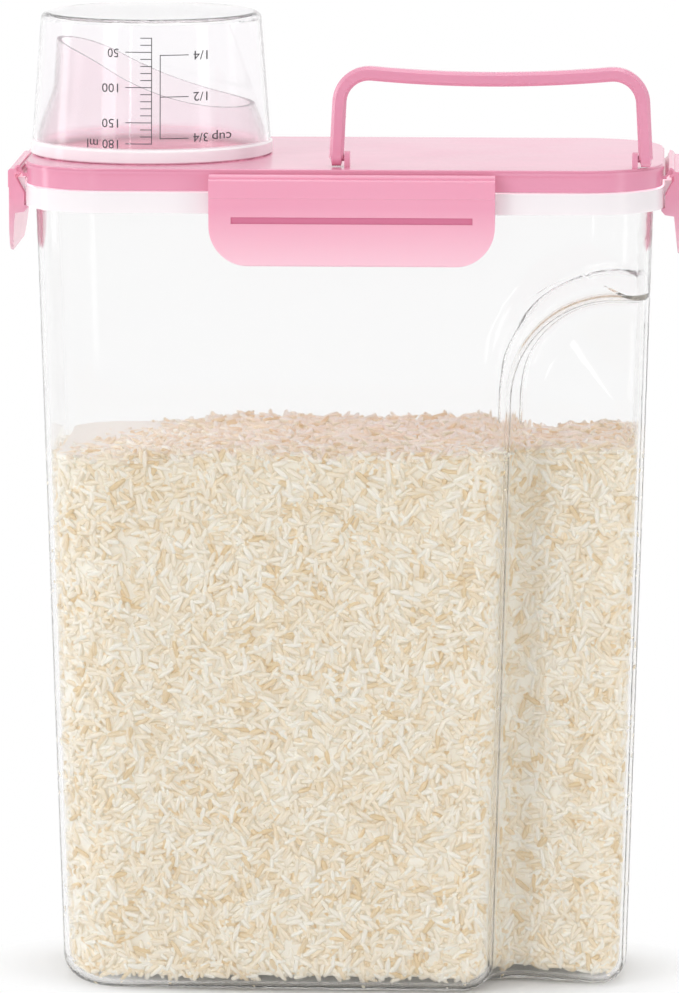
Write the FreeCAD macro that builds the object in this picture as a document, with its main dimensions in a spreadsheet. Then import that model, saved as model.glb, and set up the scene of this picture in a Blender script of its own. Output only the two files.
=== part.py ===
"""Food storage container: a clear tub, a latched lid with a pour spout, a carry handle and a measuring cup.

Millimetres, +Z up. The origin is at the middle of the container's foot, on the surface it stands on.
+X points to the grip end, -Y to the front.
"""
import FreeCAD, Part

import math
import os

import Sketcher

os.makedirs("parts", exist_ok=True)
doc = FreeCAD.newDocument("food_storage_container")
Vector = FreeCAD.Vector

# Driving dimensions

sheet = doc.addObject("Spreadsheet::Sheet", "Sizes")


class Size:
    """A length or an angle: its value now, and the formula that the document keeps for it."""

    def __init__(self, value, formula):
        self.value = float(value)
        self.formula = formula

    def _join(self, sign, other, value):
        return Size(value, f"({self.formula} {sign} {size_of(other).formula})")

    def __add__(self, other):
        return self._join("+", other, self.value + size_of(other).value)

    def __sub__(self, other):
        return self._join("-", other, self.value - size_of(other).value)

    def __mul__(self, other):
        return self._join("*", other, self.value * size_of(other).value)

    def __truediv__(self, other):
        return self._join("/", other, self.value / size_of(other).value)

    def __radd__(self, other):
        return size_of(other) + self

    def __rsub__(self, other):
        return size_of(other) - self

    def __rmul__(self, other):
        return size_of(other) * self

    def __neg__(self):
        return Size(-self.value, f"(-1 * {self.formula})")


def size_of(number):
    """A plain number as a Size."""
    return number if isinstance(number, Size) else Size(number, f"({float(number)!r})")


def sine(angle):
    return Size(math.sin(math.radians(angle.value)), f"sin({angle.formula})")


def cosine(angle):
    return Size(math.cos(math.radians(angle.value)), f"cos({angle.formula})")


def tangent(angle):
    return Size(math.tan(math.radians(angle.value)), f"tan({angle.formula})")


def arc_tangent(ratio):
    return Size(math.degrees(math.atan(ratio.value)), f"atan({ratio.formula})")


def arc_sine(ratio):
    return Size(math.degrees(math.asin(ratio.value)), f"asin({ratio.formula})")


def root(square):
    return Size(math.sqrt(square.value), f"sqrt({square.formula})")


def named(alias, value):
    """One driving dimension: a row of the sheet with the name, the number and the alias."""
    named.row += 1
    sheet.set(f"A{named.row}", alias)
    sheet.set(f"B{named.row}", str(value))
    sheet.setAlias(f"B{named.row}", alias)
    return Size(value, f"Sizes.{alias}")


named.row = 0

# The tub
mouth_length = named("mouth_length", 203.6)
mouth_depth = named("mouth_depth", 97.6)
mouth_height = named("mouth_height", 272.2)
end_taper = named("end_taper", 15.6)
face_taper = named("face_taper", 9.6)
foot_length = mouth_length - end_taper
foot_depth = mouth_depth - face_taper
tub_corner = named("tub_corner", 23.5)
tub_wall = named("tub_wall", 1.8)
tub_floor = named("tub_floor", 2.2)
foot_round = named("foot_round", 9.0)

# The grip recess: its reach from the foot's end, its rounded step, the slope of its floor and its arched top
grip_length = named("grip_length", 44.2)
step_place = foot_length / 2 - grip_length
step_round = named("step_round", 12.2)
valley_round = named("valley_round", 8.0)
grip_slope = named("grip_slope", 16.0)
grip_round = named("grip_round", 9.0)
grip_turn = named("grip_turn", 80.0)
grip_edge_gap = named("grip_edge_gap", 9.4)
arch_height = named("arch_height", 200.5)
arch_radius = named("arch_radius", 33.5)
end_sections = 6

# The rim flange and the catch ribs under the latches
flange_reach = named("flange_reach", 3.1)
flange_bottom_drop = named("flange_bottom_drop", 10.7)
flange_top_drop = named("flange_top_drop", 3.8)
flange_wall = named("flange_wall", 1.4)
catch_reach = named("catch_reach", 2.4)
catch_rise = named("catch_rise", 5.1)
catch_top = named("catch_top", 1.9)
catch_lip = named("catch_lip", 0.5)
catch_gap = named("catch_gap", 0.6)
catch_short = named("catch_short", 2.0)

# The lid
lid_height = named("lid_height", 3.8)
lid_overhang = named("lid_overhang", 3.2)
lid_plate = named("lid_plate", 2.4)
lid_tier = named("lid_tier", 0.8)
lid_tier_inset = named("lid_tier_inset", 0.4)
lid_edge = named("lid_edge", 1.0)
lid_edge_round = named("lid_edge_round", 0.5)
skirt_inset = named("skirt_inset", 0.5)
skirt_wall = named("skirt_wall", 1.8)
skirt_gap = named("skirt_gap", 0.5)
plug_gap = named("plug_gap", 0.9)
plug_wall = named("plug_wall", 1.6)
plug_depth = named("plug_depth", 7.6)
gasket_gap = named("gasket_gap", 0.3)

# The pour spout and the seat of the cup
seat_radius = named("seat_radius", 38.0)
seat_height = named("seat_height", 3.2)
spout_end_gap = named("spout_end_gap", 1.8)
spout_step = named("spout_step", 5.9)
spout_draft = named("spout_draft", 0.9)
spout_place = mouth_length / 2 + lid_overhang - seat_radius - spout_end_gap
spout_radius = seat_radius - spout_step
spout_top_radius = spout_radius - spout_draft
spout_bend = named("spout_bend", 20.0)
spout_slope = named("spout_slope", 21.0)
spout_wall = named("spout_wall", 1.5)
lip_height = named("lip_height", 39.6)
lip_middle = named("lip_middle", 30.6)
lip_middle_place = named("lip_middle_place", 12.8)
lip_low = named("lip_low", 16.4)
lip_crest_radius = named("lip_crest_radius", 75.5)
lip_hollow_radius = named("lip_hollow_radius", 98.0)
seal_groove = named("seal_groove", 1.6)
seal_depth = named("seal_depth", 1.4)
seal_proud = named("seal_proud", 0.35)

# The measuring cup
cup_rim_reach = named("cup_rim_reach", 2.2)
cup_rim_height = named("cup_rim_height", 4.4)
cup_rim_proud = named("cup_rim_proud", 0.6)
cup_rim_chamfer = named("cup_rim_chamfer", 0.4)
cup_taper = named("cup_taper", 3.8)
cup_height = named("cup_height", 46.8)
cup_wall = named("cup_wall", 1.2)
cup_end_wall = named("cup_end_wall", 1.4)
cup_end_round = named("cup_end_round", 2.4)
cup_seat_gap = named("cup_seat_gap", 0.2)
cup_seal_gap = named("cup_seal_gap", 0.2)
cup_rim_radius = seat_radius + cup_rim_reach
cup_end_radius = cup_rim_radius - cup_taper

# The latches and their hinges
long_latch = named("long_latch", 93.0)
short_latch = named("short_latch", 56.0)
long_latch_place = named("long_latch_place", 3.8)
latch_reach = named("latch_reach", 5.6)
latch_tip_drop = named("latch_tip_drop", 31.0)
latch_corner = named("latch_corner", 13.0)
latch_plate = named("latch_plate", 2.3)
latch_tip_plate = named("latch_tip_plate", 1.0)
latch_line_drop = named("latch_line_drop", 9.0)
latch_line_step = named("latch_line_step", 0.25)
latch_bow = named("latch_bow", 420.0)
latch_shoulder = named("latch_shoulder", 1.0)
latch_gap = named("latch_gap", 0.45)
latch_crease = named("latch_crease", 0.25)
hook_reach = named("hook_reach", 0.8)
hook_nose = named("hook_nose", 0.8)
hook_thickness = named("hook_thickness", 2.2)
hook_gap = named("hook_gap", 0.3)
hinge_out = named("hinge_out", 1.9)
hinge_drop = named("hinge_drop", 3.0)
hinge_rod = named("hinge_rod", 0.8)
hinge_clearance = named("hinge_clearance", 0.08)
hinge_wall = named("hinge_wall", 0.72)
hinge_wrap = named("hinge_wrap", 98.0)
hinge_stem = named("hinge_stem", 0.7)
hinge_arm = named("hinge_arm", 1.1)
hinge_space = named("hinge_space", 0.3)
hinge_short = named("hinge_short", 0.5)
slot_margin = named("slot_margin", 7.25)
slot_drop = named("slot_drop", 15.0)
slot_height = named("slot_height", 2.2)
slot_cut = named("slot_cut", 0.8)

# The carry handle and its ears
handle_place = named("handle_place", 48.6)
handle_span = named("handle_span", 100.7)
handle_height = named("handle_height", 33.0)
handle_setback = named("handle_setback", 10.2)
handle_width = named("handle_width", 4.6)
handle_thickness = named("handle_thickness", 4.8)
handle_chamfer = named("handle_chamfer", 1.0)
handle_corner = named("handle_corner", 9.7)
handle_bar_radius = named("handle_bar_radius", 430.0)
handle_lean = named("handle_lean", 3.0)
handle_lid_gap = named("handle_lid_gap", 0.3)
foot_radius = named("foot_radius", 2.6)
foot_axis_width = named("foot_axis_width", 4.2)
foot_rim_width = named("foot_rim_width", 3.0)
ear_gap = named("ear_gap", 0.3)
ear_thickness = named("ear_thickness", 1.8)
ear_wall = named("ear_wall", 1.1)
pin_radius = named("pin_radius", 1.1)
pin_clearance = named("pin_clearance", 0.06)

# How far a cutting shape runs past what it cuts, and how deep one shape sinks into another to join it
overrun = named("overrun", 30.0)
bite = named("bite", 0.02)
sink = named("sink", 0.2)

doc.recompute()

# Sizes worked out from the driving dimensions

lid_top = mouth_height + lid_height
lid_half_length = mouth_length / 2 + lid_overhang
lid_half_depth = mouth_depth / 2 + lid_overhang
lid_corner = tub_corner + lid_overhang
plate_bottom = lid_top - lid_plate
edge_bottom = lid_top - lid_tier - lid_edge
flange_bottom = mouth_height - flange_bottom_drop
flange_top = mouth_height - flange_top_drop
skirt_bottom = flange_top + skirt_gap
hinge_height = lid_top - hinge_drop

# Sketches


def constrain_place(sketch, element, vertex, place, label):
    """Fixes one point of a sketch at place, each coordinate by its formula."""
    for axis, coordinate, line in (("X", size_of(place[0]), -2), ("Y", size_of(place[1]), -1)):
        if coordinate.formula == "(0.0)":
            sketch.addConstraint(Sketcher.Constraint("PointOnObject", element, vertex, line))
            continue
        index = sketch.addConstraint(
            Sketcher.Constraint("Distance" + axis, -1, 1, element, vertex, coordinate.value)
        )
        sketch.renameConstraint(index, label + axis)
        sketch.setExpression("Constraints." + label + axis, coordinate.formula)


def constrain_radius(sketch, element, radius, label):
    """Fixes a circle's or an arc's radius by its formula."""
    radius = size_of(radius)
    index = sketch.addConstraint(Sketcher.Constraint("Radius", element, radius.value))
    sketch.renameConstraint(index, label)
    sketch.setExpression("Constraints." + label, radius.formula)


def arc_between(start, end, radius, turn):
    """The short arc from start to end that turns left or right, and its vertex numbers at start and end."""
    chord = end - start
    half = chord.Length / 2
    rise = math.sqrt(max(radius * radius - half * half, 0.0))
    side = Vector(-chord.y, chord.x, 0).normalize()
    centre = (start + end) / 2 + side * (rise if turn == "left" else -rise)
    first, last = (start, end) if turn == "left" else (end, start)
    angles = [math.atan2(p.y - centre.y, p.x - centre.x) for p in (first, last)]
    circle = Part.Circle(centre, Vector(0, 0, 1), radius)
    arc = Part.ArcOfCircle(circle, angles[0], angles[1])
    return arc, (1, 2) if turn == "left" else (2, 1)


def draw(sketch, start, *steps, closed=True):
    """Draws a chain of lines and arcs. A step is (x, y), or (x, y, radius, turn) for an arc."""
    place = Vector(size_of(start[0]).value, size_of(start[1]).value, 0)
    chain = []
    steps = list(steps)
    end = Vector(size_of(steps[-1][0]).value, size_of(steps[-1][1]).value, 0)
    if closed and not end.isEqual(place, 1e-9):
        steps.append(start)
    for step in steps:
        target = Vector(size_of(step[0]).value, size_of(step[1]).value, 0)
        if len(step) == 2:
            element = sketch.addGeometry(Part.LineSegment(place, target), False)
            chain.append((element, 1, 2))
        else:
            arc, ends = arc_between(place, target, size_of(step[2]).value, step[3])
            element = sketch.addGeometry(arc, False)
            chain.append((element, *ends))
        place = target
    for number, (before, after) in enumerate(zip(chain, chain[1:] + chain[:1])):
        if number + 1 < len(chain) or closed:
            sketch.addConstraint(Sketcher.Constraint("Coincident", before[0], before[2], after[0], after[1]))
    constrain_place(sketch, chain[0][0], chain[0][1], start, "start")
    for number, (step, link) in enumerate(zip(steps, chain)):
        if number + 1 < len(chain) or not closed:
            constrain_place(sketch, link[0], link[2], step, f"point{number}")
        if len(step) > 2:
            constrain_radius(sketch, link[0], step[2], f"radius{number}")


def rounded_rectangle(sketch, half_length, half_depth, corner):
    """Draws a rectangle with rounded corners about the sketch's origin."""
    x, y = half_length - corner, half_depth - corner
    draw(
        sketch,
        (-x, -half_depth),
        (x, -half_depth),
        (half_length, -y, corner, "left"),
        (half_length, y),
        (x, half_depth, corner, "left"),
        (-x, half_depth),
        (-half_length, y, corner, "left"),
        (-half_length, -y),
        (-x, -half_depth, corner, "left"),
    )


def chamfered_rectangle(sketch, half_length, half_depth, chamfer):
    """Draws a rectangle with its corners cut off, about the sketch's origin."""
    x, y = half_length - chamfer, half_depth - chamfer
    corners = (half_length, -y), (half_length, y), (x, half_depth), (-x, half_depth)
    rest = (-half_length, y), (-half_length, -y), (-x, -half_depth)
    draw(sketch, (x, -half_depth), *corners, *rest)


def circle(sketch, radius, x=0, y=0):
    """Draws a circle."""
    middle = Vector(size_of(x).value, size_of(y).value, 0)
    element = sketch.addGeometry(Part.Circle(middle, Vector(0, 0, 1), size_of(radius).value), False)
    constrain_place(sketch, element, 3, (x, y), "centre")
    constrain_radius(sketch, element, radius, "radius")


# The sketch planes: a plan, a front view, and an end view whose x axis points to the front
PLAN = FreeCAD.Rotation()
FRONT = FreeCAD.Rotation(Vector(1, 0, 0), Vector(0, 0, 1), Vector(0, -1, 0), "ZXY")
END = FreeCAD.Rotation(Vector(0, -1, 0), Vector(0, 0, 1), Vector(-1, 0, 0), "ZXY")


def bind(thing, **formulas):
    """Binds properties of an object to formulas."""
    for name, size in formulas.items():
        thing.setExpression(name.replace("__", "."), size_of(size).formula)


def shift(thing, x=None, y=None, z=None):
    """Binds the place of an object, axis by axis."""
    for axis, size in (("x", x), ("y", y), ("z", z)):
        if size is not None:
            size = size_of(size)
            base = thing.Placement.Base
            setattr(base, axis, size.value)
            thing.Placement = FreeCAD.Placement(base, thing.Placement.Rotation)
            thing.setExpression("Placement.Base." + axis, size.formula)


def new_sketch(name, plane=PLAN, x=None, y=None, z=None):
    """An empty sketch on a plane."""
    sketch = doc.addObject("Sketcher::SketchObject", name)
    sketch.Placement = FreeCAD.Placement(Vector(), plane)
    shift(sketch, x, y, z)
    return sketch


# Solids


def extrude(sketch, length, symmetric=False):
    """The solid that a closed sketch sweeps along its normal."""
    solid = doc.addObject("Part::Extrusion", sketch.Name + "_solid")
    solid.Base = sketch
    solid.DirMode = "Normal"
    solid.Solid = True
    solid.Symmetric = symmetric
    solid.LengthFwd = size_of(length).value
    bind(solid, LengthFwd=length)
    return solid


def revolve(sketch, axis, centre, angle):
    """The solid that a closed sketch sweeps about an axis."""
    solid = doc.addObject("Part::Revolution", sketch.Name + "_solid")
    solid.Source = sketch
    solid.Axis = axis
    solid.Base = Vector(*(size_of(c).value for c in centre))
    bind(solid, Base__x=centre[0], Base__y=centre[1], Base__z=centre[2])
    solid.Angle = angle
    solid.Solid = True
    return solid


def loft(name, *sketches, smooth=False):
    """The solid through closed sketches, with straight sides or with smooth ones."""
    solid = doc.addObject("Part::Loft", name)
    solid.Sections = list(sketches)
    solid.Solid = True
    solid.Ruled = not smooth
    return solid


def fuse(name, *solids):
    """One solid from several."""
    joined = doc.addObject("Part::MultiFuse", name)
    joined.Shapes = list(solids)
    joined.Refine = True
    return joined


def cut(name, base, *tools):
    """The base with each tool taken away."""
    for number, tool in enumerate(tools):
        last = number + 1 == len(tools)
        rest = doc.addObject("Part::Cut", name if last else f"{name}_less_{tool.Name}")
        rest.Base = base
        rest.Tool = tool
        rest.Refine = True
        base = rest
    return base


def common(name, *solids):
    """What several solids share."""
    shared = doc.addObject("Part::MultiCommon", name)
    shared.Shapes = list(solids)
    return shared


def fillet(name, base, radius, chosen):
    """Rounds the edges of base that chosen says yes to."""
    doc.recompute()
    rounded = doc.addObject("Part::Fillet", name)
    rounded.Base = base
    radius = size_of(radius).value
    rounded.Edges = [(n, radius, radius) for n, edge in enumerate(base.Shape.Edges, 1) if chosen(edge)]
    return rounded


def lies_at(height):
    """Says yes to an edge that lies flat at a height."""

    def chosen(edge):
        box = edge.BoundBox
        return abs(box.ZMin - height.value) < 0.001 and abs(box.ZMax - height.value) < 0.001

    return chosen


# The tub


def at_height(foot, mouth, height):
    """A tapering size at a height between the foot and the mouth."""
    return foot + (mouth - foot) * (height / mouth_height)


def grip_curve(inset):
    """The round corner between a recess's floor and the tub's end, in plan: its centre and its radius."""
    centre_x = foot_length / 2 - grip_edge_gap
    run = centre_x - step_place - valley_round
    centre_y = step_round + (valley_round + grip_round - run * sine(grip_slope)) / cosine(grip_slope)
    return centre_x, centre_y, grip_round - inset


def arch_middle(inset):
    """The point of a recess's floor under the middle of its arch, in plan."""
    centre_x, centre_y, bulge = grip_curve(inset)
    arch_x = step_place + arch_radius
    return arch_x, centre_y - root(bulge * bulge - (arch_x - centre_x) * (arch_x - centre_x))


def step_profile(name, inset):
    """The plan of a recess from its step to the middle of its arch: x along the tub, y into its front."""
    lean, upright = sine(grip_slope), cosine(grip_slope)
    grip_x, grip_y, bulge = grip_curve(inset)
    arch_x, arch_y = arch_middle(inset)
    convex, concave = step_round - inset, valley_round + inset
    valley_x = step_place + valley_round
    sketch = new_sketch(name)
    draw(
        sketch,
        (step_place - step_round, -overrun),
        (arch_x, -overrun),
        (arch_x, arch_y),
        (grip_x - bulge * lean, grip_y - bulge * upright, bulge, "right"),
        (valley_x + concave * lean, step_round + concave * upright),
        (step_place - inset, step_round, concave, "left"),
        (step_place - step_round, inset - bite, convex + bite, "right"),
    )
    return sketch


def end_profile(name, inset):
    """The plan of a recess from the middle of its arch out through the tub's end."""
    grip_x, grip_y, bulge = grip_curve(inset)
    arch_x, arch_y = arch_middle(inset)
    end_x, end_y = grip_x + bulge * sine(grip_turn), grip_y - bulge * cosine(grip_turn)
    out_x, out_y = end_x + overrun * cosine(grip_turn), end_y + overrun * sine(grip_turn)
    sketch = new_sketch(name)
    draw(
        sketch,
        (arch_x, -overrun),
        (out_x, -overrun),
        (out_x, out_y),
        (end_x, end_y),
        (arch_x, arch_y, bulge, "right"),
    )
    return sketch


def end_stations(inset):
    """Where the sections of a crown's end lie: x along the tub, and how much deeper than its arch."""
    grip_x, grip_y, bulge = grip_curve(inset)
    arch_x, arch_y = arch_middle(inset)
    stations = [(arch_x, size_of(0.0))]
    for number in range(1, end_sections + 1):
        turn = grip_turn * number / end_sections
        stations.append((grip_x + bulge * sine(turn), grip_y - bulge * cosine(turn) - arch_y))
    end_x, end_y = stations[-1]
    stations.append((end_x + overrun * cosine(grip_turn), end_y + overrun * sine(grip_turn)))
    return stations


def recess_cutter(name, inset):
    """What a grip recess takes out of the tub's front: upright, round an arch, and out through the end.

    Over the arch's middle, the end is a row of sections that sink along the same curve as the floor.
    """
    arch_x = step_place + arch_radius
    upright = step_profile(name + "_upright", inset)
    shift(upright, z=-overrun)
    arch = step_profile(name + "_arch", inset)
    shift(arch, z=arch_height)
    end = end_profile(name + "_end", inset)
    shift(end, z=-overrun)
    sections = []
    for number, (x, y) in enumerate(end_stations(inset)):
        section = step_profile(f"{name}_section_{number}", inset)
        section.Placement = FreeCAD.Placement(Vector(), FreeCAD.Rotation(Vector(0, 1, 0), 90))
        shift(section, x=x, y=y, z=arch_height + arch_x)
        sections.append(section)
    return fuse(
        name,
        extrude(upright, overrun + arch_height),
        revolve(arch, Vector(0, 1, 0), (arch_x, 0, arch_height), 90),
        extrude(end, overrun + arch_height),
        loft(name + "_rounded_end", *sections[:-1], smooth=True),
        loft(name + "_open_end", *sections[-2:]),
    )


def tub_form(name, inset, floor):
    """The outside of the tub, or its cavity when inset is the wall."""
    low = new_sketch(name + "_foot", z=floor)
    rounded_rectangle(
        low,
        at_height(foot_length, mouth_length, floor) / 2 - inset,
        at_height(foot_depth, mouth_depth, floor) / 2 - inset,
        tub_corner - inset,
    )
    high = new_sketch(name + "_mouth", z=mouth_height)
    rounded_rectangle(high, mouth_length / 2 - inset, mouth_depth / 2 - inset, tub_corner - inset)
    block = loft(name + "_block", low, high)
    front = recess_cutter(name + "_recess", inset)
    end_draft = arc_tangent((mouth_length - foot_length) / 2 / mouth_height)
    face_draft = arc_tangent((mouth_depth - foot_depth) / 2 / mouth_height)
    face_tilt = FreeCAD.Rotation(Vector(1, 0, 0), face_draft.value)
    end_tilt = FreeCAD.Rotation(Vector(0, 1, 0), end_draft.value)
    front.Placement = FreeCAD.Placement(Vector(), face_tilt * end_tilt)
    shift(front, y=-foot_depth / 2)
    back = doc.addObject("Part::Mirroring", name + "_recess_back")
    back.Source = front
    back.Normal = Vector(0, 1, 0)
    carved = cut(name + "_carved", block, front, back)
    return fillet(name, carved, foot_round - inset, lies_at(size_of(floor)))


def catch_heights():
    """The rib's lowest, outermost and top height."""
    top = flange_top + catch_top
    return top - catch_rise, top - catch_lip, top


def catch_rib(name, length):
    """The rib under a latch, along X with the lid's edge at y = 0 and the front towards -Y."""
    sketch = new_sketch(name + "_section", END)
    face = flange_reach - lid_overhang
    back = catch_gap - skirt_inset
    low, shoulder, top = catch_heights()
    draw(
        sketch,
        (face - flange_wall, low),
        (face, low),
        (catch_reach, shoulder),
        (catch_reach, top),
        (back, top),
        (back, flange_top),
        (face - flange_wall, flange_top),
    )
    return extrude(sketch, length - 2 * catch_short, symmetric=True)


def sides():
    """Each side of the lid: its name, its latch's length, its turn about Z, and its place."""
    return (
        ("front", long_latch, 0, long_latch_place, -lid_half_depth),
        ("back", long_latch, 180, long_latch_place, lid_half_depth),
        ("left", short_latch, -90, -lid_half_length, None),
        ("right", short_latch, 90, lid_half_length, None),
    )


def put_on_side(thing, turn, x, y):
    """Turns a thing that was made for the front to its side of the lid."""
    turned = FreeCAD.Rotation(Vector(0, 0, 1), turn) * thing.Placement.Rotation
    thing.Placement = FreeCAD.Placement(Vector(), turned)
    shift(thing, x=x, y=y)


def make_container():
    outside = tub_form("tub", size_of(0.0), size_of(0.0))
    cavity = tub_form("cavity", tub_wall, tub_floor)
    brim = new_sketch("flange_outline", z=flange_bottom)
    half_length, half_depth = mouth_length / 2 + flange_reach, mouth_depth / 2 + flange_reach
    corner = tub_corner + flange_reach
    rounded_rectangle(brim, half_length, half_depth, corner)
    hollow = new_sketch("flange_hollow", z=flange_bottom)
    rounded_rectangle(hollow, half_length - flange_wall, half_depth - flange_wall, corner - flange_wall)
    flange = cut(
        "flange",
        extrude(brim, flange_top - flange_bottom),
        extrude(hollow, flange_top - flange_bottom - flange_wall),
    )
    ribs = []
    for side, length, turn, x, y in sides():
        rib = catch_rib("catch_" + side, length)
        put_on_side(rib, turn, x, y)
        ribs.append(rib)
    return cut("container", fuse("tub_and_rim", outside, flange, *ribs), cavity)


# The lid


def slab(name, outset, bottom, top):
    """A slab with the plan of the tub's mouth, grown by outset."""
    outline = new_sketch(name, z=bottom)
    rounded_rectangle(outline, mouth_length / 2 + outset, mouth_depth / 2 + outset, tub_corner + outset)
    return extrude(outline, top - bottom)


def spout_side(inset):
    """One face of the spout's wall, upwards: the bend at the seat, the slope, and the bend at the waist."""
    lean, upright = sine(spout_slope), cosine(spout_slope)
    seat_top = lid_top + seat_height
    slope_width = seat_radius - spout_radius - 2 * spout_bend * (1 - upright)
    waist = seat_top + 2 * spout_bend * lean + slope_width / tangent(spout_slope)
    return (
        (seat_radius - inset, seat_top),
        (seat_radius - spout_bend + (spout_bend - inset) * upright, seat_top + (spout_bend - inset) * lean),
        (spout_radius + spout_bend - (spout_bend + inset) * upright, waist - (spout_bend + inset) * lean),
        (spout_radius - inset, waist),
    )


def spout_profile(name):
    """Half of the spout's wall, from the plate's underside to above the lip: r from its axis, z up."""
    sketch = new_sketch(name, FRONT)
    tip = lid_top + lip_height
    out = spout_side(size_of(0.0))
    back = spout_side(spout_wall)
    draw(
        sketch,
        (seat_radius - spout_wall, plate_bottom),
        (seat_radius, plate_bottom),
        out[0],
        (*out[1], spout_bend, "left"),
        out[2],
        (*out[3], spout_bend, "right"),
        (spout_top_radius, tip),
        (spout_top_radius - spout_wall, tip),
        back[3],
        (*back[2], spout_bend + spout_wall, "left"),
        back[1],
        (*back[0], spout_bend - spout_wall, "right"),
    )
    return sketch


def lip_cutter():
    """What lies above the slanted pouring lip: an S-curve in front view, along the whole depth."""
    sketch = new_sketch("lip_outline", FRONT)
    left, right = -seat_radius, seat_radius
    draw(
        sketch,
        (left, lid_top + lip_height),
        (-lip_middle_place, lid_top + lip_middle, lip_crest_radius, "right"),
        (right, lid_top + lip_low, lip_hollow_radius, "left"),
        (right, lid_top + lip_height + overrun),
        (left, lid_top + lip_height + overrun),
    )
    return extrude(sketch, 2 * (seat_radius + overrun), symmetric=True)


def hinge_rail(name, length):
    """The rod that a latch clips on, with its stem and its arm to the skirt, along X at the front."""
    sketch = new_sketch(name + "_section", END)
    slant = cosine(size_of(45.0))
    foot = hinge_rod + hinge_clearance + hinge_wall + hinge_space
    half = hinge_stem / 2 * slant
    meet = root(hinge_rod * hinge_rod - hinge_stem * hinge_stem / 4) * slant
    lower = (hinge_out - meet + half, hinge_height - meet - half)
    upper = (hinge_out - meet - half, hinge_height - meet + half)
    knee_x, knee_z = hinge_out - foot * slant, hinge_height - foot * slant
    root_x = -skirt_inset - sink
    under = knee_z + half - hinge_arm
    far = (hinge_out + hinge_rod * slant, hinge_height + hinge_rod * slant)
    draw(
        sketch,
        (root_x, under),
        (knee_x + half, under),
        (knee_x + half, knee_z - half),
        lower,
        (*far, hinge_rod, "left"),
        (*upper, hinge_rod, "left"),
        (knee_x - half, knee_z + half),
        (root_x, knee_z + half),
    )
    return extrude(sketch, length - 2 * hinge_short, symmetric=True)


def handle_axis():
    """The place of the handle's hinge axis: y and z."""
    return -lid_half_depth + handle_setback, lid_top + handle_lid_gap + foot_radius


def ear(name, x):
    """A lug with a bore for the handle's pin."""
    axis_y, axis_z = handle_axis()
    reach = pin_radius + ear_wall
    sketch = new_sketch(name, END, x=x + ear_thickness / 2)
    draw(
        sketch,
        (-axis_y - reach, lid_top - sink),
        (-axis_y + reach, lid_top - sink),
        (-axis_y + reach, axis_z),
        (-axis_y, axis_z + reach, reach, "left"),
        (-axis_y - reach, axis_z, reach, "left"),
    )
    return extrude(sketch, ear_thickness, symmetric=True)


def ear_places():
    """Where each ear starts, inside the handle's feet."""
    inside = handle_width / 2 + ear_gap
    left = handle_place - handle_span / 2 + inside
    right = handle_place + handle_span / 2 - inside - ear_thickness
    return left, right


def make_lid():
    tier = slab("lid_tier", lid_overhang - lid_tier_inset, lid_top - lid_tier, lid_top)
    tier = fillet("lid_tier_rounded", tier, lid_edge_round, lies_at(lid_top))
    edge = slab("lid_edge", lid_overhang, edge_bottom, lid_top - lid_tier)
    skirt_out = lid_overhang - skirt_inset
    skirt = cut(
        "skirt",
        slab("skirt_outside", skirt_out, skirt_bottom, lid_top - lid_tier),
        slab("skirt_inside", skirt_out - skirt_wall, skirt_bottom, plate_bottom),
    )
    plug_out = -tub_wall - plug_gap
    plug = cut(
        "plug",
        slab("plug_outside", plug_out, plate_bottom - plug_depth, plate_bottom + sink),
        slab("plug_inside", plug_out - plug_wall, plate_bottom - plug_depth, plate_bottom + sink),
    )
    spout = revolve(spout_profile("spout_wall_profile"), Vector(0, 0, 1), (0, 0, 0), 360)
    spout = cut("spout", spout, lip_cutter())
    shift(spout, x=-spout_place)
    throat = new_sketch("throat_outline", x=-spout_place, z=plate_bottom)
    circle(throat, spout_radius - spout_wall)
    groove = new_sketch("seal_groove_outline", FRONT)
    groove_bottom = lid_top + (seat_height - seal_groove) / 2
    draw(
        groove,
        (seat_radius - seal_depth, groove_bottom),
        (seat_radius + overrun, groove_bottom),
        (seat_radius + overrun, groove_bottom + seal_groove),
        (seat_radius - seal_depth, groove_bottom + seal_groove),
    )
    groove_solid = revolve(groove, Vector(0, 0, 1), (0, 0, 0), 360)
    shift(groove_solid, x=-spout_place)
    seat = new_sketch("seat_outline", x=-spout_place, z=plate_bottom)
    circle(seat, seat_radius)
    seat_core = new_sketch("seat_core_outline", x=-spout_place, z=plate_bottom - plug_depth)
    circle(seat_core, seat_radius - spout_wall - seal_depth)
    extras = []
    for side, length, turn, x, y in sides():
        rail = hinge_rail("rail_" + side, length)
        put_on_side(rail, turn, x, y)
        extras.append(rail)
    for number, place in enumerate(ear_places()):
        extras.append(ear(f"ear_{number}", place))
    axis_y, axis_z = handle_axis()
    bore = new_sketch("pin_bore", END, x=handle_place)
    circle(bore, pin_radius + pin_clearance, -axis_y, axis_z)
    body = fuse("lid_body", tier, edge, skirt, plug, *extras)
    open_body = cut(
        "lid_open",
        body,
        extrude(throat, lid_top - plate_bottom + sink),
        extrude(bore, handle_span, True),
    )
    ring = cut(
        "seat_ring",
        extrude(seat, lid_top + seat_height - plate_bottom),
        extrude(seat_core, plug_depth + lid_top + seat_height),
        groove_solid,
    )
    return fuse("lid", open_body, cut("spout_grooved", spout, groove_solid), ring)


def make_gasket():
    bottom = mouth_height + gasket_gap
    outer = lid_overhang - skirt_inset - skirt_wall - gasket_gap
    inner = -tub_wall - plug_gap
    return cut(
        "lid_gasket",
        slab("gasket_outside", outer, bottom, plate_bottom),
        slab("gasket_inside", inner, bottom, plate_bottom),
    )


def new_body(name):
    return doc.addObject("PartDesign::Body", name)


def body_sketch(body, name, role):
    """A sketch on one of the body's own planes."""
    sketch = body.newObject("Sketcher::SketchObject", name)
    plane = next(p for p in body.Origin.OriginFeatures if p.Role == role)
    sketch.AttachmentSupport = (plane, "")
    sketch.MapMode = "FlatFace"
    return sketch


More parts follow.
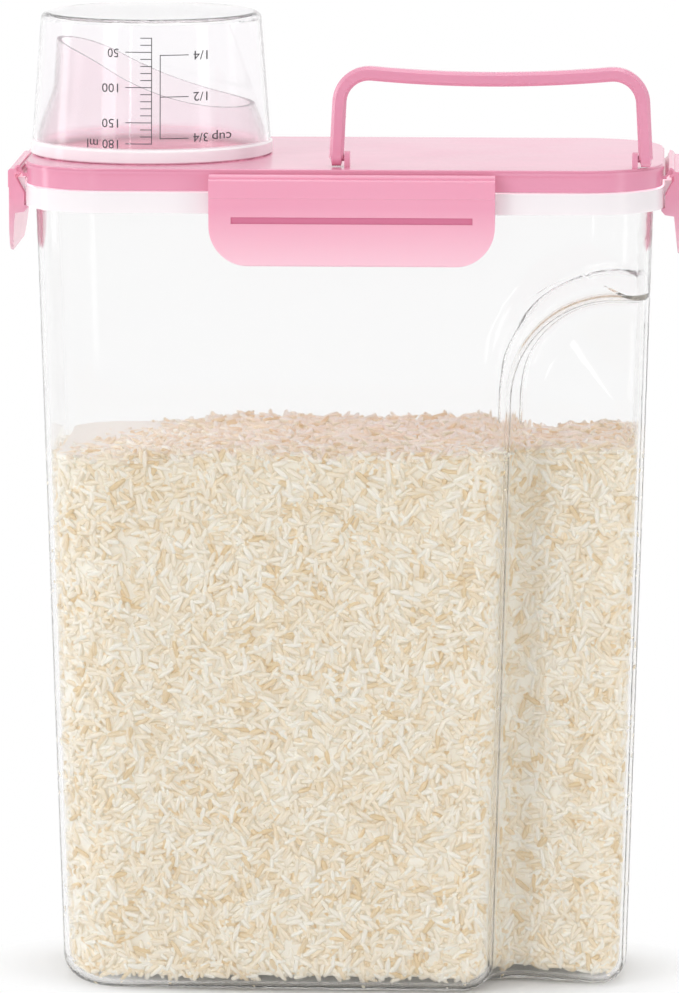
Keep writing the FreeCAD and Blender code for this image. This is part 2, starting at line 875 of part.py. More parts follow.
def turned_body(name, *outline):
    """A body of revolution about its upright axis, from an outline of r and z."""
    body = new_body(name)
    sketch = body_sketch(body, name + "_profile", "XZ_Plane")
    draw(sketch, *outline)
    turned = body.newObject("PartDesign::Revolution", name + "_turned")
    turned.Profile = sketch
    turned.ReferenceAxis = (sketch, ["V_Axis"])
    turned.Angle = 360
    body.Tip = turned
    return body


def make_seal():
    bottom = lid_top + (seat_height - seal_groove) / 2
    middle = bottom + seal_groove / 2
    inner, outer = seat_radius - seal_depth, seat_radius
    body = turned_body(
        "spout_seal",
        (inner, bottom),
        (outer, bottom),
        (outer + seal_proud, middle),
        (outer, bottom + seal_groove),
        (inner, bottom + seal_groove),
    )
    shift(body, x=-spout_place)
    return body


def make_cup():
    rim = lid_top + cup_seat_gap
    end = rim + cup_height
    shoulder = rim + cup_rim_height
    wall_out = cup_rim_radius - cup_rim_proud
    taper = (wall_out - cup_end_radius) / (cup_height - cup_rim_height)
    bore = seat_radius + seal_proud + cup_seal_gap
    inner_end = end - cup_end_wall
    inner_round = cup_end_round - cup_wall
    outer_bend = cup_end_radius + taper * cup_end_round
    body = turned_body(
        "measuring_cup",
        (0, inner_end),
        (cup_end_radius - cup_wall - inner_round, inner_end),
        (outer_bend - cup_wall, inner_end - inner_round, inner_round, "right"),
        (wall_out - cup_wall, shoulder),
        (bore, shoulder - cup_rim_proud),
        (bore, rim),
        (cup_rim_radius - cup_rim_chamfer, rim),
        (cup_rim_radius, rim + cup_rim_chamfer),
        (cup_rim_radius, shoulder - cup_rim_proud),
        (wall_out, shoulder),
        (outer_bend, end - cup_end_round),
        (cup_end_radius - cup_end_round, end, cup_end_round, "left"),
        (0, end),
    )
    shift(body, x=-spout_place)
    return body


def make_latch(side, length, turn, x, y):
    """A latch in its closed place: clip, plate and hook, along X at the front, then turned to its side."""
    name = "latch_" + side
    inner, outer = hinge_rod + hinge_clearance, hinge_rod + hinge_clearance + hinge_wall
    low, high = cosine(hinge_wrap), sine(hinge_wrap)
    plate_in = latch_reach - latch_plate
    flange_face = flange_reach - lid_overhang
    rib_low, rib_shoulder, rib_top = catch_heights()
    hook_top = flange_bottom - hook_gap
    hook_bottom = hook_top - hook_thickness
    tip = lid_top - latch_tip_drop
    line = lid_top - latch_line_drop
    tip_round = latch_tip_plate / 2
    plate_top = hinge_height + latch_crease
    drop = root(outer * outer - (plate_in - hinge_out) * (plate_in - hinge_out))
    crease = root(outer * outer - latch_crease * latch_crease)
    sketch = new_sketch(name + "_section", END)
    draw(
        sketch,
        (hinge_out + inner * low, hinge_height - inner * high),
        (hinge_out + inner, hinge_height, inner, "left"),
        (hinge_out + inner * low, hinge_height + inner * high, inner, "left"),
        (hinge_out + outer * low, hinge_height + outer * high),
        (hinge_out + crease, plate_top, outer, "right"),
        (latch_reach - latch_shoulder, plate_top),
        (latch_reach, plate_top - latch_shoulder, latch_shoulder, "right"),
        (latch_reach, line + latch_line_step),
        (latch_reach - latch_line_step, line),
        (latch_reach, tip + tip_round, latch_bow, "left"),
        (latch_reach - tip_round, tip),
        (latch_reach - latch_tip_plate, tip + tip_round),
        (plate_in, hook_bottom - latch_gap),
        (flange_face + latch_gap, hook_bottom),
        (flange_face - hook_reach, hook_top - hook_nose),
        (flange_face - hook_reach, hook_top),
        (flange_face + latch_gap, hook_top),
        (flange_face + latch_gap, rib_low),
        (catch_reach + latch_gap, rib_shoulder),
        (plate_in, rib_top),
        (plate_in, hinge_height - drop),
        (hinge_out + outer * low, hinge_height - outer * high, outer, "right"),
    )
    bar = extrude(sketch, length, symmetric=True)
    half = length / 2
    top = lid_top + overrun
    outline = new_sketch(name + "_outline", FRONT, y=overrun)
    draw(
        outline,
        (-half + latch_corner, tip),
        (half - latch_corner, tip),
        (half, tip + latch_corner, latch_corner, "left"),
        (half, top),
        (-half, top),
        (-half, tip + latch_corner),
        (-half + latch_corner, tip, latch_corner, "left"),
    )
    shape = common(name + "_shape", bar, extrude(outline, 3 * overrun))
    slot = new_sketch(name + "_slot", FRONT, y=-(latch_reach - slot_cut))
    slot_low = lid_top - slot_drop - slot_height
    draw(
        slot,
        (-half + slot_margin, slot_low),
        (half - slot_margin, slot_low),
        (half - slot_margin, slot_low + slot_height),
        (-half + slot_margin, slot_low + slot_height),
    )
    latch = cut(name, shape, extrude(slot, overrun))
    put_on_side(latch, turn, x, y)
    return latch


def make_handle():
    axis_y, axis_z = handle_axis()
    lean_s, lean_c = sine(handle_lean), cosine(handle_lean)
    bend_z = lid_top + handle_height - handle_thickness / 2 - handle_corner
    leg_top = bend_z + handle_corner * lean_s
    foot_x = -handle_span / 2
    leg_x = foot_x + (leg_top - axis_z) * tangent(handle_lean)
    bend_x = leg_x + handle_corner * lean_c
    slope = arc_sine(-bend_x / (handle_bar_radius + handle_corner))
    bar_x = bend_x + handle_corner * sine(slope)
    bar_z = bend_z + handle_corner * cosine(slope)
    path = new_sketch("handle_path", FRONT, x=handle_place, y=axis_y)
    draw(
        path,
        (foot_x, axis_z),
        (leg_x, leg_top),
        (bar_x, bar_z, handle_corner, "right"),
        (-bar_x, bar_z, handle_bar_radius, "left"),
        (-leg_x, leg_top, handle_corner, "right"),
        (-foot_x, axis_z),
        closed=False,
    )
    section = new_sketch("handle_section", FreeCAD.Rotation(Vector(0, 1, 0), handle_lean.value))
    shift(section, handle_place + foot_x, axis_y, axis_z)
    chamfered_rectangle(section, handle_width / 2, handle_thickness / 2, handle_chamfer)
    doc.recompute()
    bail = doc.addObject("Part::Sweep", "bail")
    bail.Sections = [section]
    bail.Spine = (path, [f"Edge{n}" for n in range(1, 6)])
    bail.Solid = True
    bail.Frenet = False
    parts = [bail]
    pin_length = ear_gap + ear_thickness + handle_width / 2
    for number, side in enumerate((-1, 1)):
        foot_place = handle_place + side * handle_span / 2
        half = foot_axis_width / 2
        slope = (foot_axis_width - foot_rim_width) / 2
        foot = new_sketch(f"foot_{number}", FRONT, x=foot_place, y=axis_y, z=axis_z)
        draw(foot, (-half, 0), (half, 0), (half - slope, foot_radius), (slope - half, foot_radius))
        parts.append(revolve(foot, Vector(1, 0, 0), (0, axis_y, axis_z), 360))
        pin = new_sketch(f"pin_{number}", END, x=foot_place - side * pin_length / 2)
        circle(pin, pin_radius, -axis_y, axis_z)
        parts.append(extrude(pin, pin_length, symmetric=True))
    return fuse("carry_handle", *parts)


nodes = {
    "container": make_container(),
    "lid": make_lid(),
    "lid_gasket": make_gasket(),
    "spout_seal": make_seal(),
    "measuring_cup": make_cup(),
    "carry_handle": make_handle(),
}
for side_name, latch_length, side_turn, side_x, side_y in sides():
    nodes["latch_" + side_name] = make_latch(side_name, latch_length, side_turn, side_x, side_y)

doc.recompute()

for thing in doc.Objects:
    faults = {"Invalid", "Error"} & set(thing.State)
    if faults:
        raise RuntimeError(f"{thing.Label} is {sorted(faults)}")
for name, node in nodes.items():
    node.Label = name
    shape = node.Shape
    if shape.isNull() or not shape.isValid() or len(shape.Solids) != 1:
        raise RuntimeError(f"{name}: null or broken shape, or {len(shape.Solids)} solids")
for name, node in nodes.items():
    node.Shape.exportStep(f"parts/{name}.step")
    box = node.Shape.BoundBox
    print(
        f"{name}: {node.Shape.Volume / 1000:.2f} ml, x {box.XMin:.2f} {box.XMax:.2f},"
        f" y {box.YMin:.2f} {box.YMax:.2f}, z {box.ZMin:.2f} {box.ZMax:.2f}"
    )
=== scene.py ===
import enum
import logging
import math
from dataclasses import dataclass, field
from typing import Any, Iterable, Sequence

import bmesh
import bpy
import numpy
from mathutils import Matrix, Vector
from mathutils.bvhtree import BVHTree


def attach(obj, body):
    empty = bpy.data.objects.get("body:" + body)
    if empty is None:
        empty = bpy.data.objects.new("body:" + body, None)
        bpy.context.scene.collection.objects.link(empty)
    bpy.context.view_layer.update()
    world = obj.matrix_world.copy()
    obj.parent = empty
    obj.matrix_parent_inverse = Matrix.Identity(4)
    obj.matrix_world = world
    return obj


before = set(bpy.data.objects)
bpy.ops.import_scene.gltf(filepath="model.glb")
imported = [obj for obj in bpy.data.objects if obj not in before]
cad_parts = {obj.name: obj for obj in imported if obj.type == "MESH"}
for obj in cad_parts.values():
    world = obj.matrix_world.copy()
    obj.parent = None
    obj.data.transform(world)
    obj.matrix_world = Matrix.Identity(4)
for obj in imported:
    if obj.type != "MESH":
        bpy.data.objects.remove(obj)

logging.basicConfig(level=logging.INFO, format="%(name)s: %(message)s")
log = logging.getLogger("scene")

MM = 0.001
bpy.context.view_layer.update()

Tree = bpy.types.NodeTree
Socket = bpy.types.NodeSocket

# Most values of a noise texture lie between these two.
NOISE_LOW, NOISE_HIGH = 0.3, 0.7
PLASTIC_IOR = 1.49
SILICONE_IOR = 1.41
LEVEL_ONLY = (1.0, 1.0, 0.0)
WHITE = (1.0, 1.0, 1.0, 1.0)


# Colour and node helpers


def linear(hex_colour: str) -> tuple[float, float, float, float]:
    """Turns an sRGB hex colour into linear RGBA.

    Args:
        hex_colour: six hex digits, such as "e79ab4".

    Returns:
        Red, green, blue and an alpha of 1, in linear light.
    """
    channels = [int(hex_colour[at : at + 2], 16) / 255 for at in (0, 2, 4)]
    lit = [c / 12.92 if c <= 0.04045 else ((c + 0.055) / 1.055) ** 2.4 for c in channels]
    return (*lit, 1.0)


def node(
    tree: Tree,
    kind: str,
    inputs: dict[str | int, Any] | None = None,
    **settings: Any,
) -> bpy.types.Node:
    """Adds one shader node with its settings, values and links.

    Args:
        tree: the node tree that gets it.
        kind: its type name after "ShaderNode".
        inputs: by input name or number, a value, or the socket or node to link from. A node
            gives its first output in use.
        settings: its own properties, such as operation.

    Returns:
        The new node.
    """
    made = tree.nodes.new("ShaderNode" + kind)
    for name, value in settings.items():
        setattr(made, name, value)
    for name, value in (inputs or {}).items():
        if isinstance(value, bpy.types.Node):
            value = next(output for output in value.outputs if output.enabled)
        if isinstance(value, Socket):
            tree.links.new(value, made.inputs[name])
        else:
            made.inputs[name].default_value = value
    return made


def seen_directly(tree: Tree) -> Socket:
    """A factor of 1 for what the camera sees straight, in a reflection or through clear plastic.

    Args:
        tree: the node tree that gets the nodes.

    Returns:
        The factor's output.
    """
    ray = node(tree, "LightPath").outputs
    mirrored = node(
        tree, "Math", {0: ray["Is Camera Ray"], 1: ray["Is Glossy Ray"]}, operation="MAXIMUM"
    )
    either = node(tree, "Math", {0: mirrored, 1: ray["Is Transmission Ray"]}, operation="MAXIMUM")
    return either.outputs[0]


def per_mm(size_mm: float) -> float:
    """Texture scale, in repeats per metre, for a pattern that repeats every size_mm millimetres."""
    return 1.0 / (size_mm * MM)


class Shine(enum.Enum):
    """Surface roughness of each mould finish."""

    POLISHED = 0.03
    GLOSS = 0.16
    SATIN = 0.3
    MATT = 0.55


@dataclass(frozen=True)
class Finish:
    """What every finish shares: a name, a colour and how its surface scatters light.

    Attributes:
        name: the material's name.
        colour: base colour as sRGB hex.
        shine: the mould finish.
        grain_mm: spacing of the fine mould texture.
        grain_depth_mm: depth of that texture.
        wave_mm: spacing of the slow unevenness left by cooling.
        wave_depth_mm: depth of that unevenness.
        wear: how much the roughness changes from place to place.
        smear_mm: spacing of those changes.
    """

    name: str
    colour: str
    shine: Shine = Shine.SATIN
    grain_mm: float = 0.5
    grain_depth_mm: float = 0.004
    wave_mm: float = 30.0
    wave_depth_mm: float = 0.05
    wear: float = 0.06
    smear_mm: float = 22.0

    def make(self) -> bpy.types.Material:
        """Builds the node tree.

        Returns:
            The new material.
        """
        material = bpy.data.materials.new(self.name)
        material.use_nodes = True
        tree = material.node_tree
        tree.nodes.clear()
        place = node(tree, "TexCoord").outputs["Object"]
        surface = self.surface(tree, place)
        node(tree, "OutputMaterial", {"Surface": surface})
        return material

    def bump(self, tree: Tree, place: Socket) -> Socket:
        """The normal of a moulded face: slow cooling waves under a fine tool texture.

        Args:
            tree: the material's node tree.
            place: object coordinates in metres.

        Returns:
            The normal output.
        """
        slow = (self.wave_mm, self.wave_depth_mm, 1.0)
        fine = (self.grain_mm, self.grain_depth_mm, 3.0)
        under: dict[str, Socket] = {}
        for spacing, depth, detail in (slow, fine):
            scale = per_mm(spacing)
            noise = node(tree, "TexNoise", {"Vector": place, "Scale": scale, "Detail": detail})
            relief = {"Height": noise, "Distance": depth * MM, "Strength": 1.0}
            under = {"Normal": node(tree, "Bump", {**relief, **under}).outputs[0]}
        return under["Normal"]

    def roughness(self, tree: Tree, place: Socket) -> Socket:
        """Roughness that changes a little where the face was wiped or touched.

        Args:
            tree: the material's node tree.
            place: object coordinates in metres.

        Returns:
            The roughness output.
        """
        scale = per_mm(self.smear_mm)
        smear = node(tree, "TexNoise", {"Vector": place, "Scale": scale, "Detail": 4.0})
        low = max(0.0, self.shine.value - self.wear / 2)
        high = self.shine.value + self.wear / 2
        spread = node(tree, "MapRange", {0: smear, 1: NOISE_LOW, 2: NOISE_HIGH, 3: low, 4: high})
        return spread.outputs[0]

    def skin(self, tree: Tree, place: Socket, inputs: dict[str, Any]) -> Socket:
        """The shader with this finish's roughness and relief.

        Args:
            tree: the material's node tree.
            place: object coordinates in metres.
            inputs: its other inputs.

        Returns:
            The shader output.
        """
        relief = {"Roughness": self.roughness(tree, place), "Normal": self.bump(tree, place)}
        return node(tree, "BsdfPrincipled", {**relief, **inputs}).outputs[0]

    def surface(self, tree: Tree, place: Socket) -> Socket:
        """The shader itself.

        Args:
            tree: the material's node tree.
            place: object coordinates in metres.

        Returns:
            The shader output.
        """
        return self.skin(tree, place, {"Base Color": linear(self.colour)})


@dataclass(frozen=True)
class TintedPlastic(Finish):
    """Coloured polypropylene: opaque to the eye, with a little light going through the thin edges,
    and a painted highlight on cut and rounded edges.

    Attributes:
        shade: the slightly deeper colour of the flow marks, as sRGB hex.
        glow: how much light scatters under the surface.
        coat: strength of the glossy skin.
        reflect: strength of the reflection under it.
        edge_highlight_tone: colour of the painted highlight on cut and rounded edges, as sRGB hex.
        edge_highlight_share: how much of that painted highlight shows.
        edge_highlight_turn: facing at which a face starts to count as an edge for the painted
            highlight, and fully counts.
        flow_mm: spacing of the flow marks.
        flow_stretch: how they are drawn out along each axis.
        flow_band: noise values between which a flow mark grows.
        flow_share: how much of the deeper colour they show.
        scatter_mm: how far light goes under the surface.
        coat_rough: roughness of the glossy skin.
    """

    edge_highlight_tone: str = "f7d0dd"
    edge_highlight_share: float = 0.6
    edge_highlight_turn: tuple[float, float] = (0.9, 0.8)
    flow_mm: float = 26.0
    flow_stretch: tuple[float, float, float] = (0.35, 1.0, 1.6)
    flow_band: tuple[float, float] = (0.35, 0.75)
    flow_share: float = 0.35
    scatter_mm: float = 1.5
    coat_rough: float = 0.08
    shade: str = "dd86a4"
    glow: float = 0.12
    coat: float = 0.15
    reflect: float = 0.5

    def tint(self, tree: Tree, place: Socket) -> Socket:
        """Base colour with faint flow marks and a painted highlight on the edges.

        Args:
            tree: the material's node tree.
            place: object coordinates in metres.

        Returns:
            The colour output.
        """
        stretched = node(
            tree, "Mapping", {"Vector": place, "Scale": self.flow_stretch}, vector_type="POINT"
        )
        flow = node(
            tree,
            "TexNoise",
            {"Vector": stretched, "Scale": per_mm(self.flow_mm), "Detail": 3.0, "Distortion": 0.6},
        )
        start, full = self.flow_band
        amount = node(tree, "MapRange", {0: flow, 1: start, 2: full, 3: 0.0, 4: self.flow_share})
        mix = node(
            tree,
            "Mix",
            {0: amount, 6: linear(self.colour), 7: linear(self.shade)},
            data_type="RGBA",
        )
        # Painted highlight: cut and rounded edges are mixed toward a lighter colour.
        lit = node(
            tree, "Mix", {0: self.edges(tree), 6: mix, 7: linear(self.edge_highlight_tone)}, data_type="RGBA"
        )
        return lit.outputs[2]

    def edges(self, tree: Tree) -> Socket:
        """A factor for the painted highlight, high on edges cut or rounded between the front and
        the other faces.

        Args:
            tree: the material's node tree.

        Returns:
            The factor's output.
        """
        facing = node(tree, "TexCoord").outputs["Normal"]
        size = node(tree, "VectorMath", {0: facing}, operation="ABSOLUTE").outputs[0]
        split = node(tree, "SeparateXYZ", {0: size})
        side = node(tree, "Math", {0: split.outputs[0], 1: split.outputs[2]}, operation="MAXIMUM")
        most = node(tree, "Math", {0: side, 1: split.outputs[1]}, operation="MAXIMUM")
        start, full = self.edge_highlight_turn
        slant = node(tree, "MapRange", {0: most, 1: start, 2: full, 3: 0.0, 4: self.edge_highlight_share})
        return slant.outputs[0]

    def surface(self, tree: Tree, place: Socket) -> Socket:
        return self.skin(tree, place, {
            "Base Color": self.tint(tree, place),
            "IOR": PLASTIC_IOR,
            "Specular IOR Level": self.reflect,
            "Subsurface Weight": self.glow,
            "Subsurface Radius": (1.0, 0.5, 0.6),
            "Subsurface Scale": self.scatter_mm * MM,
            "Coat Weight": self.coat,
            "Coat Roughness": self.coat_rough,
        })


@dataclass(frozen=True)
class LatchPlastic(TintedPlastic):
    """A latch's coloured polypropylene: lighter towards the bottom as painted light through the
    thinning plate, with painted shade in its slot and a painted glow on its inner side.

    Attributes:
        painted_backlight_tone: the lighter colour painted on the thinnest edge for light showing
            through it, as sRGB hex.
        painted_backlight_top_mm: height at which the plate starts to thin and that painted light
            starts.
        painted_backlight_tip_mm: height of its thinnest edge, where that painted light is full.
        painted_slot_shade_tone: the painted shade in the slot, as sRGB hex.
        slot_low_mm: height of the slot's lower side.
        slot_high_mm: height of its upper side.
        long_half_mm: half the slot's length in the two long latches.
        long_middle_mm: the middle of those latches along the tub.
        short_half_mm: half the slot's length in the two short latches.
        painted_back_glow_tone: colour of a painted glow (emission) on the inner side, standing in
            for the light that comes through the plate, as sRGB hex.
        painted_back_glow: strength of that painted glow.
        back_turn: how far inward a face has to look to get all of it.
    """

    painted_back_glow_tone: str = "f0a3bb"
    painted_back_glow: float = 0.22
    back_turn: float = -0.01
    painted_backlight_tone: str = "facbd9"
    painted_backlight_top_mm: float = 264.0
    painted_backlight_tip_mm: float = 245.0
    painted_slot_shade_tone: str = "d67d9c"
    slot_low_mm: float = 258.8
    slot_high_mm: float = 261.0
    long_half_mm: float = 39.25
    long_middle_mm: float = 3.8
    short_half_mm: float = 20.75

    def within(self, tree: Tree, value: Socket, middle: float, half: float) -> Socket:
        """A factor of 1 where a coordinate lies within half of a middle.

        Args:
            tree: the material's node tree.
            value: the coordinate in metres.
            middle: the middle in millimetres.
            half: the half width in millimetres.

        Returns:
            The factor's output.
        """
        near = node(tree, "Math", {0: value, 1: middle * MM, 2: half * MM}, operation="COMPARE")
        return near.outputs[0]

    def tint(self, tree: Tree, place: Socket) -> Socket:
        split = node(tree, "SeparateXYZ", {0: place})
        # Painted light: the plate turns lighter towards its bottom edge, for light showing through
        # it.
        thin = node(tree, "MapRange", {
            0: split.outputs[2],
            1: self.painted_backlight_top_mm * MM,
            2: self.painted_backlight_tip_mm * MM,
            3: 0.0,
            4: 1.0,
        })
        paler = node(
            tree,
            "Mix",
            {0: thin, 6: super().tint(tree, place), 7: linear(self.painted_backlight_tone)},
            data_type="RGBA",
        )
        # Painted shade: a deeper colour in the slot, where its rib casts shade.
        middle = (self.slot_low_mm + self.slot_high_mm) / 2
        level = self.within(tree, split.outputs[2], middle, self.slot_high_mm - middle)
        long_way = self.within(tree, split.outputs[0], self.long_middle_mm, self.long_half_mm)
        short_way = self.within(tree, split.outputs[1], 0.0, self.short_half_mm)
        along = node(tree, "Math", {0: long_way, 1: short_way}, operation="MAXIMUM")
        slot = node(tree, "Math", {0: level, 1: along}, operation="MULTIPLY")
        deeper = node(tree, "Mix", {0: slot, 6: paler, 7: linear(self.painted_slot_shade_tone)}, data_type="RGBA")
        return deeper.outputs[2]

    def surface(self, tree: Tree, place: Socket) -> Socket:
        skin = super().surface(tree, place)
        # Painted glow: faces turned inward emit a pink light.
        level = node(tree, "VectorMath", {0: place, 1: LEVEL_ONLY}, operation="MULTIPLY")
        away = node(
            tree,
            "VectorMath",
            {0: level, 1: node(tree, "TexCoord").outputs["Normal"]},
            operation="DOT_PRODUCT",
        )
        inward = node(
            tree, "MapRange", {0: away, 1: 0.0, 2: self.back_turn, 3: 0.0, 4: self.painted_back_glow}
        )
        tree.links.new(inward.outputs[0], skin.node.inputs["Emission Strength"])
        skin.node.inputs["Emission Color"].default_value = linear(self.painted_back_glow_tone)
        return skin


@dataclass(frozen=True)
class LidPlastic(TintedPlastic):
    """The lid's coloured polypropylene, seen through where the spout's wall is thin, with a painted
    glow on its hidden faces and a painted dark edge on the spout's lip.

    Attributes:
        thin_colour: colour of the light that comes through the spout, as sRGB hex.
        thin_from_mm: height at which the spout's wall starts.
        thin_over_mm: how far above that it is fully thin.
        clear: share of the spout's wall that lets light through.
        thin_ior: refractive index given to the spout's wall, low so that it stays light.
        painted_lip_shade_colour: dark colour painted on the lip's cut edge as its shade, as sRGB
            hex.
        lip_clear: share of the lip's edge that lets light through.
        painted_inner_glow_tone: colour of a painted glow (emission) standing in for the light that
            comes through the lid's plate, as sRGB hex.
        painted_inner_glow: strength of that painted glow on the faces inside the tub and under the
            skirt.
        inner_top_mm: height under which a face counts as inside.
        inner_half_mm: half the length and the depth of the inside.
        seat_place_mm: the middle of the cup's seat along the lid.
        seat_reach_mm: how far from it the seat's floor shares the painted glow.
        seat_top_mm: height under which a face counts as that floor.
        down_turn: facing under which a face counts as turned down.
        spout_side_mm: the spout is all that stands left of here.
        lip_over_mm: how far above the start of the spout's wall its lip can be.
        lip_turn: facing at which a face starts to count as the lip, and fully counts.
    """

    painted_inner_glow_tone: str = "edefeb"
    painted_inner_glow: float = 0.25
    inner_top_mm: float = 275.8
    inner_half_mm: tuple[float, float] = (94.0, 42.0)
    seat_place_mm: float = -65.2
    seat_reach_mm: float = 36.0
    seat_top_mm: float = 276.6
    down_turn: float = -0.7
    spout_side_mm: float = -20.0
    lip_over_mm: float = 8.0
    lip_turn: tuple[float, float] = (0.45, 0.6)
    painted_lip_shade_colour: str = "6a3352"
    lip_clear: float = 0.0
    thin_ior: float = 1.25
    thin_colour: str = "fff7fa"
    thin_from_mm: float = 276.5
    thin_over_mm: float = 0.5
    clear: float = 0.99

    def surface(self, tree: Tree, place: Socket) -> Socket:
        height = node(tree, "SeparateXYZ", {0: place}).outputs[2]
        low = self.thin_from_mm * MM
        thin = node(tree, "MapRange", {0: height, 1: low, 2: low + self.thin_over_mm * MM})
        across = node(tree, "SeparateXYZ", {0: place}).outputs[0]
        beside = node(tree, "Math", {0: across, 1: self.spout_side_mm * MM}, operation="LESS_THAN")
        part = node(tree, "Math", {0: thin, 1: beside}, operation="MULTIPLY")
        up = node(tree, "SeparateXYZ", {0: node(tree, "TexCoord").outputs["Normal"]}).outputs[2]
        start, full = self.lip_turn
        upward = node(tree, "MapRange", {0: up, 1: start, 2: full})
        over = low + self.lip_over_mm * MM
        above = node(tree, "Math", {0: height, 1: over}, operation="GREATER_THAN")
        lip = node(tree, "Math", {0: upward, 1: above}, operation="MULTIPLY")
        clear = node(tree, "MapRange", {0: lip, 1: 0.0, 2: 1.0, 3: self.clear, 4: self.lip_clear})
        through = node(tree, "Math", {0: part, 1: clear}, operation="MULTIPLY")
        bend = node(tree, "MapRange", {0: part, 1: 0.0, 2: 1.0, 3: PLASTIC_IOR, 4: self.thin_ior})
        # Painted shade: the lip's cut edge is coloured dark.
        wall = node(
            tree,
            "Mix",
            {0: lip, 6: linear(self.thin_colour), 7: linear(self.painted_lip_shade_colour)},
            data_type="RGBA",
        )
        colour = node(tree, "Mix", {0: part, 6: self.tint(tree, place), 7: wall}, data_type="RGBA")
        return self.skin(tree, place, {
            "Base Color": colour,
            "IOR": bend,
            "Transmission Weight": through,
            "Emission Color": linear(self.painted_inner_glow_tone),
            "Emission Strength": self.painted_daylight_glow(tree, place, up),
        })

    def painted_daylight_glow(self, tree: Tree, place: Socket, up: Socket) -> Socket:
        """Painted glow, standing in for the light that comes through the plate, on faces inside the
        tub, on the cup's seat and on faces turned down.

        Args:
            tree: the material's node tree.
            place: object coordinates in metres.
            up: how far the face is turned upward.

        Returns:
            The strength's output.
        """
        # Painted glow: emission on faces inside the tub, on the cup's seat and on faces turned
        # down.
        size = node(tree, "VectorMath", {0: place}, operation="ABSOLUTE").outputs[0]
        across, deep, high = node(tree, "SeparateXYZ", {0: size}).outputs
        length, depth = self.inner_half_mm
        seat = (self.seat_place_mm * MM, 0.0, 0.0)
        flat = node(tree, "VectorMath", {0: place, 1: LEVEL_ONLY}, operation="MULTIPLY").outputs[0]
        apart = node(tree, "VectorMath", {0: flat, 1: seat}, operation="DISTANCE").outputs["Value"]
        inside = ((across, length), (deep, depth), (high, self.inner_top_mm))
        on_seat = ((apart, self.seat_reach_mm), (high, self.seat_top_mm))
        lit = node(tree, "Math", {0: up, 1: self.down_turn}, operation="LESS_THAN")
        for limits in (on_seat, inside):
            share: float | Socket = 1.0
            for value, limit in limits:
                under = node(tree, "Math", {0: value, 1: limit * MM}, operation="LESS_THAN")
                both = node(tree, "Math", {0: share, 1: under}, operation="MULTIPLY")
                share = both.outputs[0]
            lit = node(tree, "Math", {0: lit, 1: share}, operation="MAXIMUM")
        light = node(tree, "Math", {0: lit, 1: self.painted_inner_glow}, operation="MULTIPLY")
        return light.outputs[0]


@dataclass(frozen=True)
class ClearPlastic(Finish):
    """Clarified polypropylene: see-through with a faint milky veil, a milkier thick band that
    partly stands in for a painted highlight, and a painted glow on faces in that band.

    Attributes:
        clear: share of the light that goes through each face.
        band_clear: the same share in the thick band.
        band_from_mm: height at which the band starts to show.
        band_to_mm: height at which it is full.
        band_haze_and_highlight_colour: the band's milky colour, which partly stands in for a
            painted highlight, as sRGB hex.
        ior: refractive index.
        painted_covered_glow_tone: colour of the painted glow (emission) on faces turned up in the
            band, standing in for light that reaches them, as sRGB hex.
        painted_covered_glow: strength of that painted glow.
        painted_inner_glow: strength of the same painted glow on the band's faces that look at
            middle_mm.
        middle_mm: the piece's middle along the tub.
        up_turn: facing at which a face starts to count as turned up, and fully counts.
    """

    painted_covered_glow_tone: str = "fbdfe8"
    painted_covered_glow: float = 0.0
    painted_inner_glow: float = 0.0
    middle_mm: float = -65.2
    clear: float = 0.985
    band_clear: float = 0.15
    band_haze_and_highlight_colour: str = "fffafc"
    band_from_mm: float = 260.9
    band_to_mm: float = 261.6
    ior: float = PLASTIC_IOR
    up_turn: tuple[float, float] = (0.8, 0.9)

    def surface(self, tree: Tree, place: Socket) -> Socket:
        height = node(tree, "SeparateXYZ", {0: place}).outputs[2]
        edge = {0: height, 1: self.band_from_mm * MM, 2: self.band_to_mm * MM}
        # The thick band turns milky white: its own haze, and partly a painted highlight.
        through = node(tree, "MapRange", {**edge, 3: self.clear, 4: self.band_clear})
        band = node(tree, "MapRange", edge)
        colour = node(
            tree,
            "Mix",
            {0: band, 6: linear(self.colour), 7: linear(self.band_haze_and_highlight_colour)},
            data_type="RGBA",
        )
        # Painted glow: faces turned up in the band, and band faces that look toward the middle,
        # emit light.
        facing = node(tree, "SeparateXYZ", {0: node(tree, "TexCoord").outputs["Normal"]})
        start, full = self.up_turn
        upward = node(
            tree,
            "MapRange",
            {0: facing.outputs[2], 1: start, 2: full, 3: 0.0, 4: self.painted_covered_glow},
        )
        outward = node(
            tree, "VectorMath", {0: place, 1: (self.middle_mm * MM, 0.0, 0.0)}, operation="SUBTRACT"
        )
        level = node(tree, "VectorMath", {0: outward, 1: LEVEL_ONLY}, operation="MULTIPLY")
        away = node(
            tree,
            "VectorMath",
            {0: level, 1: node(tree, "TexCoord").outputs["Normal"]},
            operation="DOT_PRODUCT",
        )
        inward = node(tree, "Math", {0: away, 1: 0.0}, operation="LESS_THAN")
        within = node(tree, "Math", {0: inward, 1: self.painted_inner_glow}, operation="MULTIPLY")
        lit = node(tree, "Math", {0: upward, 1: within}, operation="MAXIMUM")
        painted_glow_strength = node(tree, "Math", {0: lit, 1: band}, operation="MULTIPLY")
        return self.skin(tree, place, {
            "Base Color": colour,
            "IOR": self.ior,
            "Transmission Weight": through,
            "Emission Color": linear(self.painted_covered_glow_tone),
            "Emission Strength": painted_glow_strength,
        })


